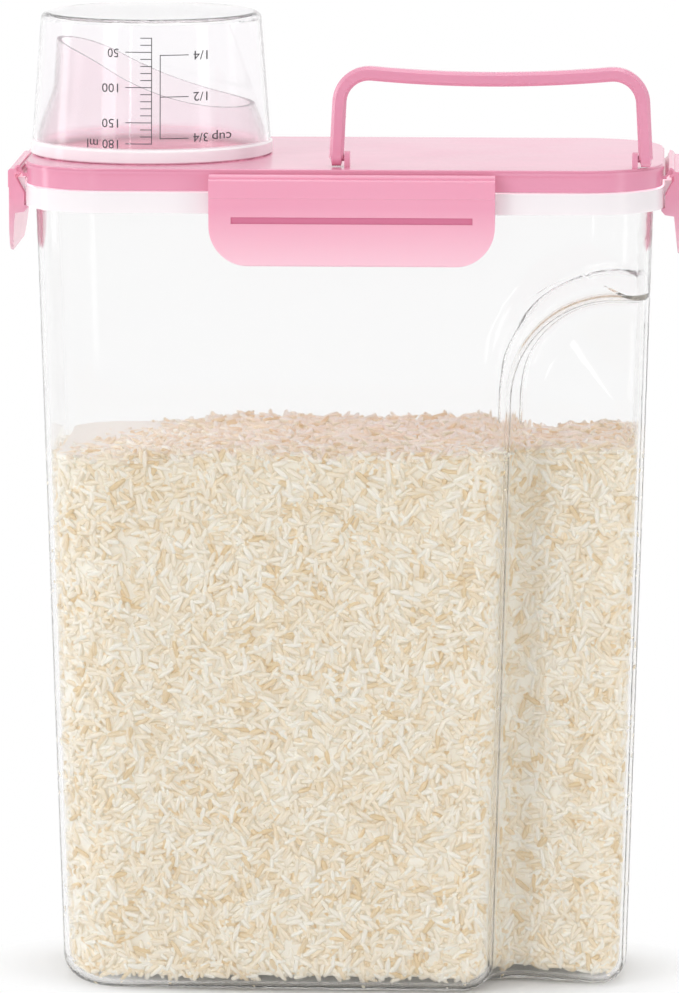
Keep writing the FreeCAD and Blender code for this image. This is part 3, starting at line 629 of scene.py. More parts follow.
@dataclass(frozen=True)
class Silicone(Finish):
    """Moulded silicone rubber: soft, matt and cloudy.

    Attributes:
        cloud: how much light scatters inside.
        scatter_mm: how far it goes there.
        bloom: strength of the dusty sheen.
    """

    cloud: float = 0.4
    scatter_mm: float = 2.0
    bloom: float = 0.2

    def surface(self, tree: Tree, place: Socket) -> Socket:
        return self.skin(tree, place, {
            "Base Color": linear(self.colour),
            "IOR": SILICONE_IOR,
            "Subsurface Weight": self.cloud,
            "Subsurface Radius": (1.0, 1.0, 1.0),
            "Subsurface Scale": self.scatter_mm * MM,
            "Sheen Weight": self.bloom,
        })


@dataclass(frozen=True)
class Ink(Finish):
    """Pad-printed ink: flat dark colour, thinner here and there.

    Attributes:
        thin_colour: the colour of the thinner spots, as sRGB hex.
        speck_mm: spacing of those spots.
        speck_band: noise values between which a spot grows.
        speck_share: how much of that colour they show.
    """

    thin_colour: str = "6a6a70"
    speck_mm: float = 0.6
    speck_band: tuple[float, float] = (0.5, 0.8)
    speck_share: float = 0.5

    def surface(self, tree: Tree, place: Socket) -> Socket:
        scale = per_mm(self.speck_mm)
        speck = node(tree, "TexNoise", {"Vector": place, "Scale": scale, "Detail": 2.0})
        start, full = self.speck_band
        amount = node(tree, "MapRange", {0: speck, 1: start, 2: full, 3: 0.0, 4: self.speck_share})
        mix = node(
            tree,
            "Mix",
            {0: amount, 6: linear(self.colour), 7: linear(self.thin_colour)},
            data_type="RGBA",
        )
        return self.skin(tree, place, {"Base Color": mix})


@dataclass(frozen=True)
class GrainSkin(Finish):
    """Milled rice: a waxy, half-clear grain with a chalky core, each one a little different, with a
    faint painted glow.

    Attributes:
        pale: the palest grain's colour, as sRGB hex.
        warm: the few yellower grains' colour, as sRGB hex.
        warm_from: tone above which a grain turns yellower.
        warm_share: how much the yellowest grain shows of it.
        glow: strength of a painted glow (emission in the grain's own colour), standing in for light
            that grains hand on to each other beyond what the bounces show.
    """

    pale: str = "fffbf0"
    warm: str = "eacf9f"
    warm_from: float = 0.86
    warm_share: float = 0.8
    glow: float = 0.1

    def surface(self, tree: Tree, place: Socket) -> Socket:
        tone = node(tree, "Attribute", attribute_name="tone").outputs["Fac"]
        body = node(
            tree, "Mix", {0: tone, 6: linear(self.pale), 7: linear(self.colour)}, data_type="RGBA"
        )
        share = {0: tone, 1: self.warm_from, 2: 1.0, 3: 0.0, 4: self.warm_share}
        warm = node(tree, "MapRange", share)
        colour = node(tree, "Mix", {0: warm, 6: body, 7: linear(self.warm)}, data_type="RGBA")
        # Painted glow: every grain emits a little of its own colour.
        shader = node(tree, "BsdfPrincipled", {
            "Base Color": colour,
            "Roughness": self.shine.value,
            "Emission Color": colour,
            "Emission Strength": self.glow,
        })
        return shader.outputs[0]


# Clarified polypropylene, injection moulded in a polished tool: clear and glossy, with a faint
# veil.
# Faces turned up in its rim band get a painted glow.
TUB_CLEAR = ClearPlastic(
    "clarified_polypropylene_tub", "fdfdfd", Shine.POLISHED, wear=0.04, ior=1.28, painted_covered_glow=0.5
)

# The same resin in a thinner wall, so the cup is clearer than the tub and shows the spout inside.
CUP_CLEAR = ClearPlastic(
    "clarified_polypropylene_cup",
    "fffeff",
    Shine.POLISHED,
    wave_depth_mm=0.03,
    wear=0.03,
    clear=0.985,
    # Its rim band is fully milky white: the thick rim's haze together with a painted highlight of
    # the light it reflects.
    band_clear=0.0,
    band_haze_and_highlight_colour="fffcfd",
    ior=1.3,
    # Painted glow on the rim band's faces that look inward.
    painted_inner_glow=0.45,
    band_from_mm=281.2,
    band_to_mm=280.5,
)

# Coloured polypropylene, injection moulded in a fine satin tool: an even pink with soft
# reflections.
# Its hidden faces get a painted glow, and the spout's lip a painted dark edge.
LID_PINK = LidPlastic(
    "coloured_polypropylene_lid", "e699b3", Shine.GLOSS, shade="e18dab", edge_highlight_share=0.0
)

# Coloured polypropylene in thin plates that clip on rods: a lighter pink, as light gets through.
# On top of this colour: painted highlights on the edges, painted light towards the thin bottom,
# painted shade in the slot and a painted glow on the inner side.
LATCH_PINK = LatchPlastic(
    "coloured_polypropylene_latch",
    "efa6be",
    Shine.GLOSS,
    shade="ea9ab4",
    edge_highlight_share=0.2,
    coat=0.03,
    reflect=0.15,
)

# Coloured polypropylene bar with cut edges: the deepest pink, since the section is the thickest.
# Its cut edges carry a faint painted highlight.
HANDLE_PINK = TintedPlastic(
    "coloured_polypropylene_handle", "e495b0", Shine.GLOSS, shade="da85a3", edge_highlight_share=0.12
)

# Compression-moulded clear silicone cord in the lid's rim: cloudy and matt.
GASKET_CLEAR = Silicone("clear_silicone_gasket", "e9e9e6", Shine.MATT, cloud=0.5)

# Compression-moulded white silicone ring in the spout's groove: even white and matt.
SEAL_WHITE = Silicone("white_silicone_seal", "f2f2f1", Shine.MATT)

# Pad-printed grey ink on the cup: dark and flat, with slightly thinner spots.
CUP_INK = Ink("pad_printed_grey_ink", "3d3b40", Shine.MATT, grain_mm=0.3, wave_depth_mm=0.0)

# Milled long-grain rice: cream, half-clear grains; it only shows that the tub is see-through.
RICE_SKIN = GrainSkin("milled_rice", "f8e8cb", Shine.SATIN)


def dress(names: Iterable[str], finish: Finish) -> None:
    """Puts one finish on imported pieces.

    Args:
        names: the pieces' node names.
        finish: the finish they share.
    """
    material = finish.make()
    for name in names:
        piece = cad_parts[name]
        if not piece.material_slots:
            piece.data.materials.append(material)
        for slot in piece.material_slots:
            slot.material = material
        log.info("%s: %s", name, finish.name)


def add_object(name: str, mesh: bpy.types.Mesh) -> bpy.types.Object:
    """Links a mesh to the scene under a name.

    Args:
        name: the object's name.
        mesh: its mesh.

    Returns:
        The new object.
    """
    made = bpy.data.objects.new(name, mesh)
    bpy.context.scene.collection.objects.link(made)
    return made


# The sub-assemblies


@dataclass
class Tub:
    """The clear tub."""

    def build(self) -> None:
        """Dresses the tub."""
        dress(["container"], TUB_CLEAR)


@dataclass
class Lid:
    """The lid with its spout, its gasket and the seal under the cup."""

    def build(self) -> None:
        """Dresses the lid and its rubber parts."""
        dress(["lid"], LID_PINK)
        dress(["lid_gasket"], GASKET_CLEAR)
        dress(["spout_seal"], SEAL_WHITE)


@dataclass
class Latches:
    """The four latches.

    Attributes:
        names: their node names.
    """

    names: tuple[str, ...] = ("latch_front", "latch_back", "latch_left", "latch_right")

    def build(self) -> None:
        """Dresses the latches."""
        dress(self.names, LATCH_PINK)


@dataclass
class CarryHandle:
    """The folding carry handle."""

    def build(self) -> None:
        """Dresses the handle."""
        dress(["carry_handle"], HANDLE_PINK)


@dataclass(frozen=True)
class Label:
    """One printed number or word.

    Attributes:
        text: what it says.
        left_mm: its left edge in the front view.
        middle_mm: the height of its middle.
        width_mm: its width.
        height_mm: the height of its digits.
    """

    text: str
    left_mm: float
    middle_mm: float
    width_mm: float
    height_mm: float = 2.9


@dataclass
class MeasuringCup:
    """The measuring cup, upside down over the spout, with the two scales printed on its wall.

    Attributes:
        scale_x_mm: the millilitre scale's line.
        scale_top_mm: height of its 30 ml end.
        scale_bottom_mm: height of its 180 ml end.
        cup_x_mm: the second scale's line.
        cup_top_mm: height of its quarter mark.
        cup_bottom_mm: height of its three-quarter mark.
        scale_steps: how many steps the millilitre scale has.
        short_tick_mm: length of its plain ticks.
        long_tick_mm: length of its numbered ticks.
        long_steps: which ticks are numbered.
        cup_tick_mm: length of the second scale's ticks.
        line_mm: thickness of the printed lines.
        ink_mm: thickness of the ink.
        step_mm: how long a piece of a line may be before it is split to follow the wall.
        in_front_mm: a place in front of the cup, from where the rays start.
        labels: the printed numbers and words.
        wall: the cup's surface, for casting rays.
    """

    scale_x_mm: float = -62.4
    scale_top_mm: float = 317.2
    scale_bottom_mm: float = 282.8
    scale_steps: int = 15
    short_tick_mm: float = 3.7
    long_tick_mm: float = 8.6
    long_steps: tuple[int, ...] = (2, 7, 12, 15)
    cup_x_mm: float = -59.6
    cup_top_mm: float = 311.6
    cup_bottom_mm: float = 284.5
    cup_tick_mm: float = 9.1
    line_mm: float = 0.28
    ink_mm: float = 0.04
    step_mm: tuple[float, float] = (1.0, 4.0)
    in_front_mm: float = -200.0
    labels: tuple[Label, ...] = (
        Label("50", -76.9, 312.3, 3.6),
        Label("100", -78.8, 300.9, 5.4),
        Label("150", -78.8, 289.4, 5.4),
        Label("180 ml", -83.8, 282.6, 10.4),
        Label("1/4", -48.9, 311.4, 4.4),
        Label("1/2", -48.9, 298.0, 4.4),
        Label("3/4", -48.9, 284.6, 4.6),
        Label("cup", -43.0, 285.2, 6.0),
    )
    wall: BVHTree = field(init=False, repr=False)

    def build(self) -> None:
        """Dresses the cup and prints its marks."""
        dress(["measuring_cup"], CUP_CLEAR)
        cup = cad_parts["measuring_cup"]
        self.wall = BVHTree.FromObject(cup, bpy.context.evaluated_depsgraph_get())
        ink = CUP_INK.make()
        self.print_on("cup_scale_millilitres", self.scale_bars(), ink)
        self.print_on("cup_scale_cups", self.cup_bars(), ink)
        for number, label in enumerate(self.labels):
            self.print_text(f"cup_mark_{number}", label, ink)

    def scale_bars(self) -> list[tuple[float, float, float, float]]:
        """The bars of the millilitre scale, as x from, x to, z from, z to in millimetres."""
        half = self.line_mm / 2
        line = self.scale_x_mm
        bars = [(line - half, line + half, self.scale_bottom_mm - half, self.scale_top_mm + half)]
        for step in range(self.scale_steps + 1):
            share = step / self.scale_steps
            z = self.scale_top_mm + (self.scale_bottom_mm - self.scale_top_mm) * share
            reach = self.long_tick_mm if step in self.long_steps else self.short_tick_mm
            bars.append((line - reach, line - half, z - half, z + half))
        return bars

    def cup_bars(self) -> list[tuple[float, float, float, float]]:
        """The bars of the second scale, as x from, x to, z from, z to in millimetres."""
        half = self.line_mm / 2
        line = self.cup_x_mm
        bars = [(line - half, line + half, self.cup_bottom_mm - half, self.cup_top_mm + half)]
        for z in (self.cup_top_mm, (self.cup_top_mm + self.cup_bottom_mm) / 2, self.cup_bottom_mm):
            bars.append((line + half, line + self.cup_tick_mm, z - half, z + half))
        return bars

    def on_wall(self, x: float, z: float, depth: float) -> Vector:
        """A place in the ink at x and z in front view.

        Args:
            x: across, in metres.
            z: height, in metres.
            depth: how far out of the wall, in metres.

        Returns:
            The place in metres.
        """
        start = Vector((x, self.in_front_mm * MM, z))
        hit, normal, _, _ = self.wall.ray_cast(start, Vector((0.0, 1.0, 0.0)))
        return hit + normal * depth

    def print_on(
        self, name: str, bars: Sequence[tuple[float, float, float, float]], ink: bpy.types.Material
    ) -> None:
        """Prints bars as one piece of ink that follows the wall.

        Args:
            name: the piece's name.
            bars: the bars, in millimetres.
            ink: the ink's material.
        """
        mesh = bmesh.new()
        for left, right, low, high in bars:
            across = max(1, math.ceil((right - left) / self.step_mm[0]))
            rows = max(1, math.ceil((high - low) / self.step_mm[1]))
            made = bmesh.ops.create_grid(mesh, x_segments=across, y_segments=rows, size=0.5)
            sheet = made["verts"]
            for vertex in sheet:
                x = left + (vertex.co.x + 0.5) * (right - left)
                z = low + (vertex.co.y + 0.5) * (high - low)
                vertex.co = Vector((x, 0.0, z))
            faces = list(dict.fromkeys(f for v in sheet for f in v.link_faces))
            lifted = bmesh.ops.extrude_face_region(mesh, geom=faces)["geom"]
            for vertex in [g for g in lifted if isinstance(g, bmesh.types.BMVert)]:
                vertex.co.y = 1.0
        self.wrap(name, mesh, ink)

    def print_text(self, name: str, label: Label, ink: bpy.types.Material) -> None:
        """Prints one label, upside down like the cup.

        Args:
            name: the piece's name.
            label: what to print and where.
            ink: the ink's material.
        """
        curve = bpy.data.curves.new(name, "FONT")
        curve.body = label.text
        curve.extrude = 0.5
        curve.resolution_u = 3
        holder = bpy.data.objects.new(name + "_text", curve)
        bpy.context.scene.collection.objects.link(holder)
        bpy.context.view_layer.update()
        flat = bpy.data.meshes.new_from_object(holder)
        bpy.data.objects.remove(holder)
        mesh = bmesh.new()
        mesh.from_mesh(flat)
        bpy.data.meshes.remove(flat)
        xs = [v.co.x for v in mesh.verts]
        ys = [v.co.y for v in mesh.verts]
        for vertex in mesh.verts:
            share_x = (max(xs) - vertex.co.x) / (max(xs) - min(xs))
            share_y = (max(ys) - vertex.co.y) / (max(ys) - min(ys)) - 0.5
            x = label.left_mm + share_x * label.width_mm
            z = label.middle_mm + share_y * label.height_mm
            vertex.co = Vector((x, vertex.co.z + 0.5, z))
        self.wrap(name, mesh, ink)

    def wrap(self, name: str, mesh: bmesh.types.BMesh, ink: bpy.types.Material) -> None:
        """Lays a flat drawing on the cup's wall; its y from 0 to 1 becomes the ink's thickness.

        Args:
            name: the piece's name.
            mesh: the drawing in millimetres, freed here.
            ink: the ink's material.
        """
        bmesh.ops.remove_doubles(mesh, verts=mesh.verts, dist=0.001)
        for vertex in mesh.verts:
            depth = (vertex.co.y * 2 - 1) * self.ink_mm * MM
            vertex.co = self.on_wall(vertex.co.x * MM, vertex.co.z * MM, depth)
        bmesh.ops.recalc_face_normals(mesh, faces=mesh.faces)
        data = bpy.data.meshes.new(name)
        mesh.to_mesh(data)
        mesh.free()
        data.materials.append(ink)
        piece = add_object(name, data)
        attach(piece, "measuring_cup")
        log.info("%s: %d faces of ink", name, len(data.polygons))


@dataclass
class Rice:
    """Rice in the tub, as a stage prop: it isn't part of the object.

    Attributes:
        level_mm: height of its top.
        floor_mm: height under which no grain starts.
        length_mm: a grain's length.
        width_mm: a grain's width.
        cover: share of its box that a grain covers.
        length_spread: shortest and longest grain, as shares of length_mm.
        width_spread: thinnest and thickest grain, as shares of width_mm.
        flatness: a grain's thickness as a share of its width.
        tilt: how far grains lean out of their wall, in radians.
        layers: how many grains deep the faces are.
        wall_depth: nearest and reach of a grain's depth at a wall, in grain widths, and how much
            the grains crowd to the wall.
        top_depth: nearest and reach of a grain's depth under the top, in grain widths.
        wave_mm: height of the small unevenness of the top.
        slope_mm: how far the top falls to the left.
        clamp_mm: how far along the middle line the cavity is looked at from.
        touch_mm: how near to the cavity's wall a place counts as on it.
        clear_mm: how far inside the cavity a place on the top has to be.
        half_mm: half the length and the depth that the top is sought in.
        core_gap: how far inside the walls and the floor the core lies, in grain widths.
        core_drop: how far under the top it ends, in grain widths.
        core_rows: how many rows of faces the core's sides have.
        core_steps: how many faces go along the core.
        seed: start of the random numbers.
        wall: the tub's surface, for casting rays.
    """

    level_mm: float = 182.7
    floor_mm: float = 2.4
    length_mm: float = 6.7
    width_mm: float = 1.85
    cover: float = 0.75
    length_spread: tuple[float, float] = (0.78, 1.08)
    width_spread: tuple[float, float] = (0.85, 1.12)
    flatness: float = 0.82
    tilt: float = 0.22
    layers: float = 3.0
    wall_depth: tuple[float, float, float] = (0.55, 1.6, 1.3)
    top_depth: tuple[float, float] = (0.3, 1.7)
    wave_mm: float = 0.8
    slope_mm: float = 7.0
    clamp_mm: float = 80.0
    touch_mm: float = 0.4
    clear_mm: float = 1.5
    half_mm: tuple[float, float] = (100.0, 47.0)
    core_gap: float = 1.5
    core_drop: float = 1.8
    core_rows: int = 24
    core_steps: int = 120
    seed: int = 7
    wall: BVHTree = field(init=False, repr=False)

    def build(self) -> None:
        """Makes the core block and the grains over it."""
        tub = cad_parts["container"]
        self.wall = BVHTree.FromObject(tub, bpy.context.evaluated_depsgraph_get())
        skin = RICE_SKIN.make()
        dice = numpy.random.default_rng(self.seed)
        places, normals = self.wall_places(tub.data, dice)
        top_places, top_normals = self.top_places(dice)
        places = numpy.concatenate([places, top_places])
        normals = numpy.concatenate([normals, top_normals])
        grains = self.grain_mesh(places, normals, dice)
        grains.materials.append(skin)
        core = self.core_mesh()
        core.materials.append(skin)
        add_object("rice_grains", grains)
        add_object("rice_core", core)
        log.info("rice: %d grains", len(places))

    def reach(self, x: float, y: float, z: float, from_x: float) -> float:
        """How much further than the place (x, y, z) the cavity's wall is.

        Args:
            x: the place.
            y: the place.
            z: the place.
            from_x: where on the cavity's middle line it is seen from.

        Returns:
            The distance in metres, negative behind the wall.
        """
        middle = Vector((from_x, 0.0, z))
        way = Vector((x, y, z)) - middle
        hit = self.wall.ray_cast(middle, way.normalized())
        return (hit[3] if hit[0] else 0.0) - way.length

    def on_cavity(self, x: float, y: float, z: float) -> bool:
        """True if a place on the tub's surface faces the cavity, and not the outside."""
        beside = min(max(x, -self.clamp_mm * MM), self.clamp_mm * MM)
        return any(abs(self.reach(x, y, z, at)) < self.touch_mm * MM for at in (beside, 0.0))

    def in_cavity(self, x: float, y: float, z: float) -> bool:
        """True if a place lies inside the cavity, clear of its walls."""
        beside = min(max(x, -self.clamp_mm * MM), self.clamp_mm * MM)
        return self.reach(x, y, z, beside) > self.clear_mm * MM

    def wall_places(
        self, tub: bpy.types.Mesh, dice: numpy.random.Generator
    ) -> tuple[numpy.ndarray, numpy.ndarray]:
        """Grain places over the cavity's walls.

        Args:
            tub: the container's mesh.
            dice: the random numbers.

        Returns:
            Places and inward normals, one row for each grain.
        """
        tub.calc_loop_triangles()
        count = len(tub.loop_triangles)
        corners = numpy.empty(count * 3, dtype=numpy.int32)
        tub.loop_triangles.foreach_get("vertices", corners)
        points = numpy.empty(len(tub.vertices) * 3, dtype=numpy.float32)
        tub.vertices.foreach_get("co", points)
        triangles = points.reshape(-1, 3)[corners.reshape(-1, 3)].astype(float)
        cross = numpy.cross(triangles[:, 1] - triangles[:, 0], triangles[:, 2] - triangles[:, 0])
        area = numpy.linalg.norm(cross, axis=1) / 2
        normal = cross / (2 * area[:, None] + 1e-12)
        low = triangles[:, :, 2].min(axis=1) < self.level_mm * MM
        useful = low & (numpy.abs(normal[:, 2]) < 0.8)
        area = numpy.where(useful, area, 0.0)
        grain_area = self.length_mm * self.width_mm * self.cover * MM * MM
        wanted = int(area.sum() * self.layers / grain_area)
        picked = dice.choice(count, size=wanted, p=area / area.sum())
        u, v = dice.random((2, wanted, 1))
        flip = u + v > 1
        u, v = numpy.where(flip, 1 - u, u), numpy.where(flip, 1 - v, v)
        corner = triangles[picked]
        spots = corner[:, 0] + u * (corner[:, 1] - corner[:, 0]) + v * (corner[:, 2] - corner[:, 0])
        heap = (self.level_mm + self.swell(spots[:, 0], spots[:, 1]) - self.width_mm) * MM
        keep = [
            self.floor_mm * MM < spot[2] < top and self.on_cavity(*spot)
            for spot, top in zip(spots, heap)
        ]
        spots, facing = spots[keep], normal[picked][keep]
        nearest, reach, crowding = self.wall_depth
        share = nearest + reach * dice.random((len(spots), 1)) ** crowding
        depth = (self.width_mm * share) * MM
        return spots + facing * depth, facing

    def swell(self, x: numpy.ndarray, y: numpy.ndarray) -> numpy.ndarray:
        """How far the poured rice lies over its level: low at the left, most so behind.

        Args:
            x: along the tub, in metres.
            y: across it, in metres.

        Returns:
            The heights in millimetres.
        """
        waves = self.wave_mm * numpy.sin(x * 61.0 + 1.0) * numpy.cos(y * 47.0)
        left = numpy.clip((-x - 0.03) / 0.065, 0.0, 1.0) ** 1.3
        behind = numpy.clip((y + 0.046) / 0.092, 0.0, 1.0)
        return waves - self.slope_mm * left * (0.35 + 0.65 * behind)

    def top_places(self, dice: numpy.random.Generator) -> tuple[numpy.ndarray, numpy.ndarray]:
        """Grain places over the level top of the rice.

        Args:
            dice: the random numbers.

        Returns:
            Places and upward normals, one row for each grain.
        """
        half_x, half_y = (half * MM for half in self.half_mm)
        grain_area = self.length_mm * self.width_mm * self.cover * MM * MM
        wanted = int(4 * half_x * half_y * self.layers / grain_area)
        flat = dice.uniform((-half_x, -half_y), (half_x, half_y), (wanted, 2))
        keep = [self.in_cavity(x, y, self.level_mm * MM) for x, y in flat]
        flat = flat[keep]
        nearest, reach = self.top_depth
        depth = self.width_mm * (nearest + reach * dice.random(len(flat)))
        height = self.level_mm + self.swell(flat[:, 0], flat[:, 1]) - depth
        places = numpy.column_stack([flat, height * MM])
        normals = numpy.tile([0.0, 0.0, 1.0], (len(flat), 1))
        return places, normals

    def grain_mesh(
        self, places: numpy.ndarray, normals: numpy.ndarray, dice: numpy.random.Generator
    ) -> bpy.types.Mesh:
        """One mesh of all grains, each lying near its wall with its own turn, size and tone.

        Args:
            places: middle of each grain.
            normals: the normal of the wall each lies on.
            dice: the random numbers.

        Returns:
            The mesh.
        """
        rings, sides = 4, 6
        shape = [(-0.5, 0.0, 0.0)]
        for ring in range(1, rings + 1):
            angle = math.pi * ring / (rings + 1)
            for side in range(sides):
                turn = 2 * math.pi * side / sides
                radius = 0.5 * math.sin(angle) ** 0.7
                y, z = radius * math.cos(turn), radius * math.sin(turn)
                shape.append((-0.5 * math.cos(angle), y, z))
        shape.append((0.5, 0.0, 0.0))
        shape = numpy.array(shape)
        last = len(shape) - 1
        faces: list[tuple[int, ...]] = []
        for side in range(sides):
            after = (side + 1) % sides
            faces.append((0, 1 + after, 1 + side))
            faces.append((last, last - sides + side, last - sides + after))
            for ring in range(rings - 1):
                low = 1 + ring * sides
                faces.append((low + side, low + after, low + sides + after, low + sides + side))
        count = len(places)
        helper = numpy.where(numpy.abs(normals[:, 2:3]) < 0.9, [[0.0, 0.0, 1.0]], [[1.0, 0.0, 0.0]])
        first = numpy.cross(helper, normals)
        first /= numpy.linalg.norm(first, axis=1, keepdims=True)
        second = numpy.cross(normals, first)
        turn = dice.uniform(0, 2 * math.pi, (count, 1))
        tilt = dice.normal(0.0, self.tilt, (count, 1))
        flat = numpy.cos(turn) * first + numpy.sin(turn) * second
        along = numpy.cos(tilt) * flat + numpy.sin(tilt) * normals
        side_way = numpy.cross(normals, flat)
        up_way = numpy.cross(along, side_way)
        length = self.length_mm * dice.uniform(*self.length_spread, (count, 1)) * MM
        width = self.width_mm * dice.uniform(*self.width_spread, (count, 1)) * MM
        spots = (
            places[:, None, :]
            + shape[None, :, 0:1] * (along * length)[:, None, :]
            + shape[None, :, 1:2] * (side_way * width)[:, None, :]
            + shape[None, :, 2:3] * (up_way * width * self.flatness)[:, None, :]
        )
        loops = numpy.concatenate([numpy.array(f) for f in faces])
        sizes = numpy.array([len(f) for f in faces])
        per_grain = len(shape)
        all_loops = (loops[None, :] + per_grain * numpy.arange(count)[:, None]).ravel()
        all_sizes = numpy.tile(sizes, count)
        mesh = bpy.data.meshes.new("rice_grains")
        mesh.vertices.add(count * per_grain)
        mesh.vertices.foreach_set("co", spots.astype(numpy.float32).ravel())
        mesh.loops.add(len(all_loops))
        mesh.loops.foreach_set("vertex_index", all_loops.astype(numpy.int32))
        mesh.polygons.add(len(all_sizes))
        starts = numpy.concatenate([[0], numpy.cumsum(all_sizes)[:-1]])
        mesh.polygons.foreach_set("loop_start", starts.astype(numpy.int32))
        mesh.update(calc_edges=True)
        mesh.shade_smooth()
        tone = mesh.attributes.new("tone", "FLOAT", "POINT")
        tones = numpy.repeat(dice.random(count), per_grain).astype(numpy.float32)
        tone.data.foreach_set("value", tones)
        return mesh

    def core_mesh(self) -> bpy.types.Mesh:
        """A plain block just inside the walls, so no light passes between the grains."""
        gap = self.core_gap * self.width_mm * MM
        rows, steps = self.core_rows, self.core_steps
        top = (self.level_mm - self.core_drop * self.width_mm) * MM
        bottom = (self.floor_mm + self.core_gap * self.width_mm) * MM
        points: list[tuple[float, float, float]] = []
        for row in range(rows + 1):
            z = bottom + (top - bottom) * row / rows
            middle = Vector((0.0, 0.0, z))
            left = gap - self.wall.ray_cast(middle, Vector((-1.0, 0.0, 0.0)))[3]
            right = self.wall.ray_cast(middle, Vector((1.0, 0.0, 0.0)))[3] - gap
            spots = [left + (right - left) * step / steps for step in range(steps + 1)]
            halves = []
            for x in spots:
                far = self.wall.ray_cast(Vector((x, 0.0, z)), Vector((0.0, -1.0, 0.0)))[3]
                halves.append(max(far - gap, 0.001))
            points += [(x, -half, z) for x, half in zip(spots, halves)]
            points += [(x, half, z) for x, half in zip(reversed(spots), reversed(halves))]
        turns = 2 * (steps + 1)
        faces: list[tuple[int, ...]] = []
        for row in range(rows):
            low, high = row * turns, (row + 1) * turns
            for turn in range(turns):
                after = (turn + 1) % turns
                faces.append((low + turn, low + after, high + after, high + turn))
        last = rows * turns
        for base, order in ((0, -1), (last, 1)):
            for step in range(steps):
                corners = (step, step + 1, turns - 2 - step, turns - 1 - step)
                faces.append(tuple(base + corner for corner in corners[::order]))
        mesh = bpy.data.meshes.new("rice_core")
        mesh.from_pydata(points, [], faces)
        return mesh


@dataclass(frozen=True)
class Softbox:
    """A rectangular studio lamp.

    Attributes:
        name: the lamp's name.
        place: where it stands, in metres.
        size: its width and height, in metres.
        watts: its power.
        aim: the point it faces, in metres.
    """

    name: str
    place: tuple[float, float, float]
    size: tuple[float, float]
    watts: float
    aim: tuple[float, float, float] = (0.0, 0.0, 0.16)

    def build(self) -> None:
        """Adds the lamp."""
        lamp = bpy.data.lights.new(self.name, "AREA")
        lamp.shape = "RECTANGLE"
        lamp.size, lamp.size_y = self.size
        lamp.energy = self.watts
        holder = bpy.data.objects.new(self.name, lamp)
        bpy.context.scene.collection.objects.link(holder)
        holder.location = self.place
        toward = Vector(self.aim) - Vector(self.place)
        holder.rotation_euler = toward.to_track_quat("-Z", "Y").to_euler()


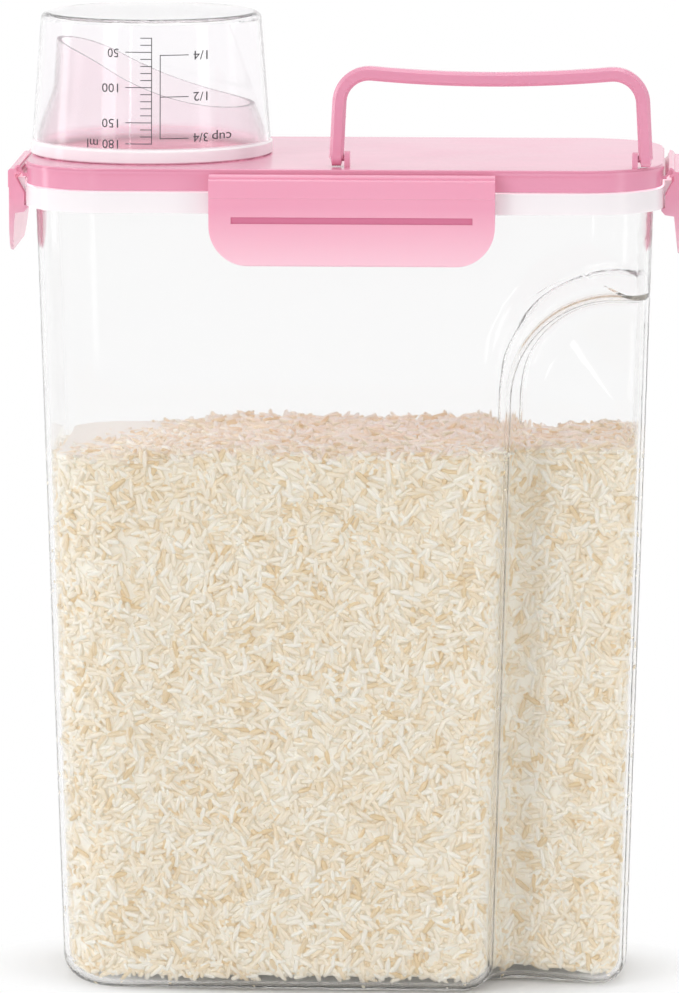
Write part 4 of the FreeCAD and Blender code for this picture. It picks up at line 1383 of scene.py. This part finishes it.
@dataclass
class Studio:
    """Floor, light and camera.

    Attributes:
        camera_mm: the camera's place.
        camera_turn: its pitch and its turn about Z, in degrees.
        lens_mm: focal length on a 36 mm sensor.
        floor_colour: the floor's colour.
        world_light: strength of the even light from all round.
        bounces: how often light may turn inside the clear walls before it is given up.
        floor_half: half the floor's width, in metres.
        floor_drop_mm: how far the floor lies under the tub's foot.
        shadow_m: how far from the middle the floor's shade starts to fade, and is gone.
        horizon: colour of the even light at the horizon, as sRGB hex.
        horizon_top: height of the way a ray goes at which that light is plain white.
        backdrop: colour of the backdrop as the camera sees it, as sRGB hex.
        backdrop_side: how far to the back a ray goes where that colour starts, and is white.
        lamps: the lamps.
    """

    camera_mm: tuple[float, float, float] = (104.3, -2312.6, 524.3)
    camera_turn: tuple[float, float] = (81.07, 2.65)
    lens_mm: float = 253.98
    floor_colour: str = "fcfcfc"
    world_light: float = 0.76
    bounces: int = 24
    floor_half: float = 14.0
    floor_drop_mm: float = 0.02
    shadow_m: tuple[float, float] = (0.085, 0.13)
    horizon: str = "d4d4d6"
    horizon_top: float = 0.7
    backdrop: str = "f2f2f3"
    backdrop_side: tuple[float, float] = (-0.9, 0.2)
    lamps: tuple[Softbox, ...] = (
        Softbox("key_left", (-1.1, -1.3, 0.9), (0.5, 1.6), 7.5),
        Softbox("strip_front_left", (-0.7, -2.1, 0.5), (0.08, 1.2), 1.6),
        Softbox("side_left", (-1.5, 0.1, 0.5), (0.3, 1.2), 3.0),
        Softbox("fill_right", (1.4, -0.9, 0.7), (0.4, 1.4), 3.5),
        Softbox("top_soft", (0.1, 0.3, 1.6), (1.2, 1.0), 6.5),
    )

    def build(self) -> None:
        """Sets up the floor, the world, the lamps and the camera."""
        self.make_floor()
        self.make_world()
        for lamp in self.lamps:
            lamp.build()
        self.make_camera()
        scene = bpy.context.scene
        scene.view_settings.view_transform = "Standard"
        scene.cycles.max_bounces = self.bounces
        scene.cycles.glossy_bounces = self.bounces
        scene.cycles.transmission_bounces = self.bounces

    def make_floor(self) -> None:
        """A pale floor that keeps the shadow near the object and is plain white further away."""
        half = self.floor_half
        mesh = bpy.data.meshes.new("floor")
        corners = [(-half, -half, 0.0), (half, -half, 0.0), (half, half, 0.0), (-half, half, 0.0)]
        mesh.from_pydata(corners, [], [(0, 1, 2, 3)])
        floor = add_object("floor", mesh)
        floor.location.z = -self.floor_drop_mm * MM
        material = bpy.data.materials.new("painted_floor")
        material.use_nodes = True
        tree = material.node_tree
        tree.nodes.clear()
        place = node(tree, "TexCoord").outputs["Object"]
        even = node(tree, "VectorMath", {0: place, 1: (1.0, 2.0, 1.0)}, operation="MULTIPLY")
        far = node(tree, "VectorMath", {0: even}, operation="LENGTH").outputs["Value"]
        start, gone = self.shadow_m
        fade = node(tree, "MapRange", {0: far, 1: start, 2: gone})
        share = node(tree, "Math", {0: seen_directly(tree), 1: fade}, operation="MULTIPLY")
        paint = node(tree, "BsdfDiffuse", {"Color": linear(self.floor_colour)})
        white = node(tree, "Emission", {"Color": WHITE, "Strength": 1.0})
        mix = node(tree, "MixShader", {0: share, 1: paint, 2: white})
        node(tree, "OutputMaterial", {"Surface": mix})
        mesh.materials.append(material)

    def make_world(self) -> None:
        """Even light that is a little darker near the horizon, so that clear edges show."""
        world = bpy.data.worlds.new("studio")
        world.use_nodes = True
        tree = world.node_tree
        tree.nodes.clear()
        way = node(tree, "TexCoord").outputs["Generated"]
        split = node(tree, "SeparateXYZ", {0: way})
        low = node(tree, "MapRange", {0: split.outputs[2], 1: 0.0, 2: self.horizon_top})
        colour = node(tree, "Mix", {0: low, 6: linear(self.horizon), 7: WHITE}, data_type="RGBA")
        even = node(tree, "Background", {"Color": colour, "Strength": self.world_light})
        start, full = self.backdrop_side
        behind = node(tree, "MapRange", {0: split.outputs[1], 1: start, 2: full})
        shown = node(tree, "Mix", {0: behind, 6: linear(self.backdrop), 7: WHITE}, data_type="RGBA")
        backdrop = node(tree, "Background", {"Color": shown, "Strength": 1.0})
        sky = node(tree, "MixShader", {0: seen_directly(tree), 1: even, 2: backdrop})
        node(tree, "OutputWorld", {"Surface": sky})
        bpy.context.scene.world = world

    def make_camera(self) -> None:
        """Places the camera as in the photograph."""
        data = bpy.data.cameras.new("camera")
        data.sensor_width = 36.0
        data.lens = self.lens_mm
        data.clip_start, data.clip_end = 0.05, 60.0
        camera = bpy.data.objects.new("camera", data)
        bpy.context.scene.collection.objects.link(camera)
        camera.location = Vector(self.camera_mm) * MM
        pitch, turn = self.camera_turn
        camera.rotation_euler = (math.radians(pitch), 0.0, math.radians(turn))
        bpy.context.scene.camera = camera


def main() -> None:
    """Builds every sub-assembly, then the studio."""
    for part in (Tub(), Lid(), Latches(), CarryHandle(), MeasuringCup(), Rice(), Studio()):
        log.info("building %s", type(part).__name__)
        part.build()


if __name__ == "__main__":
    main()
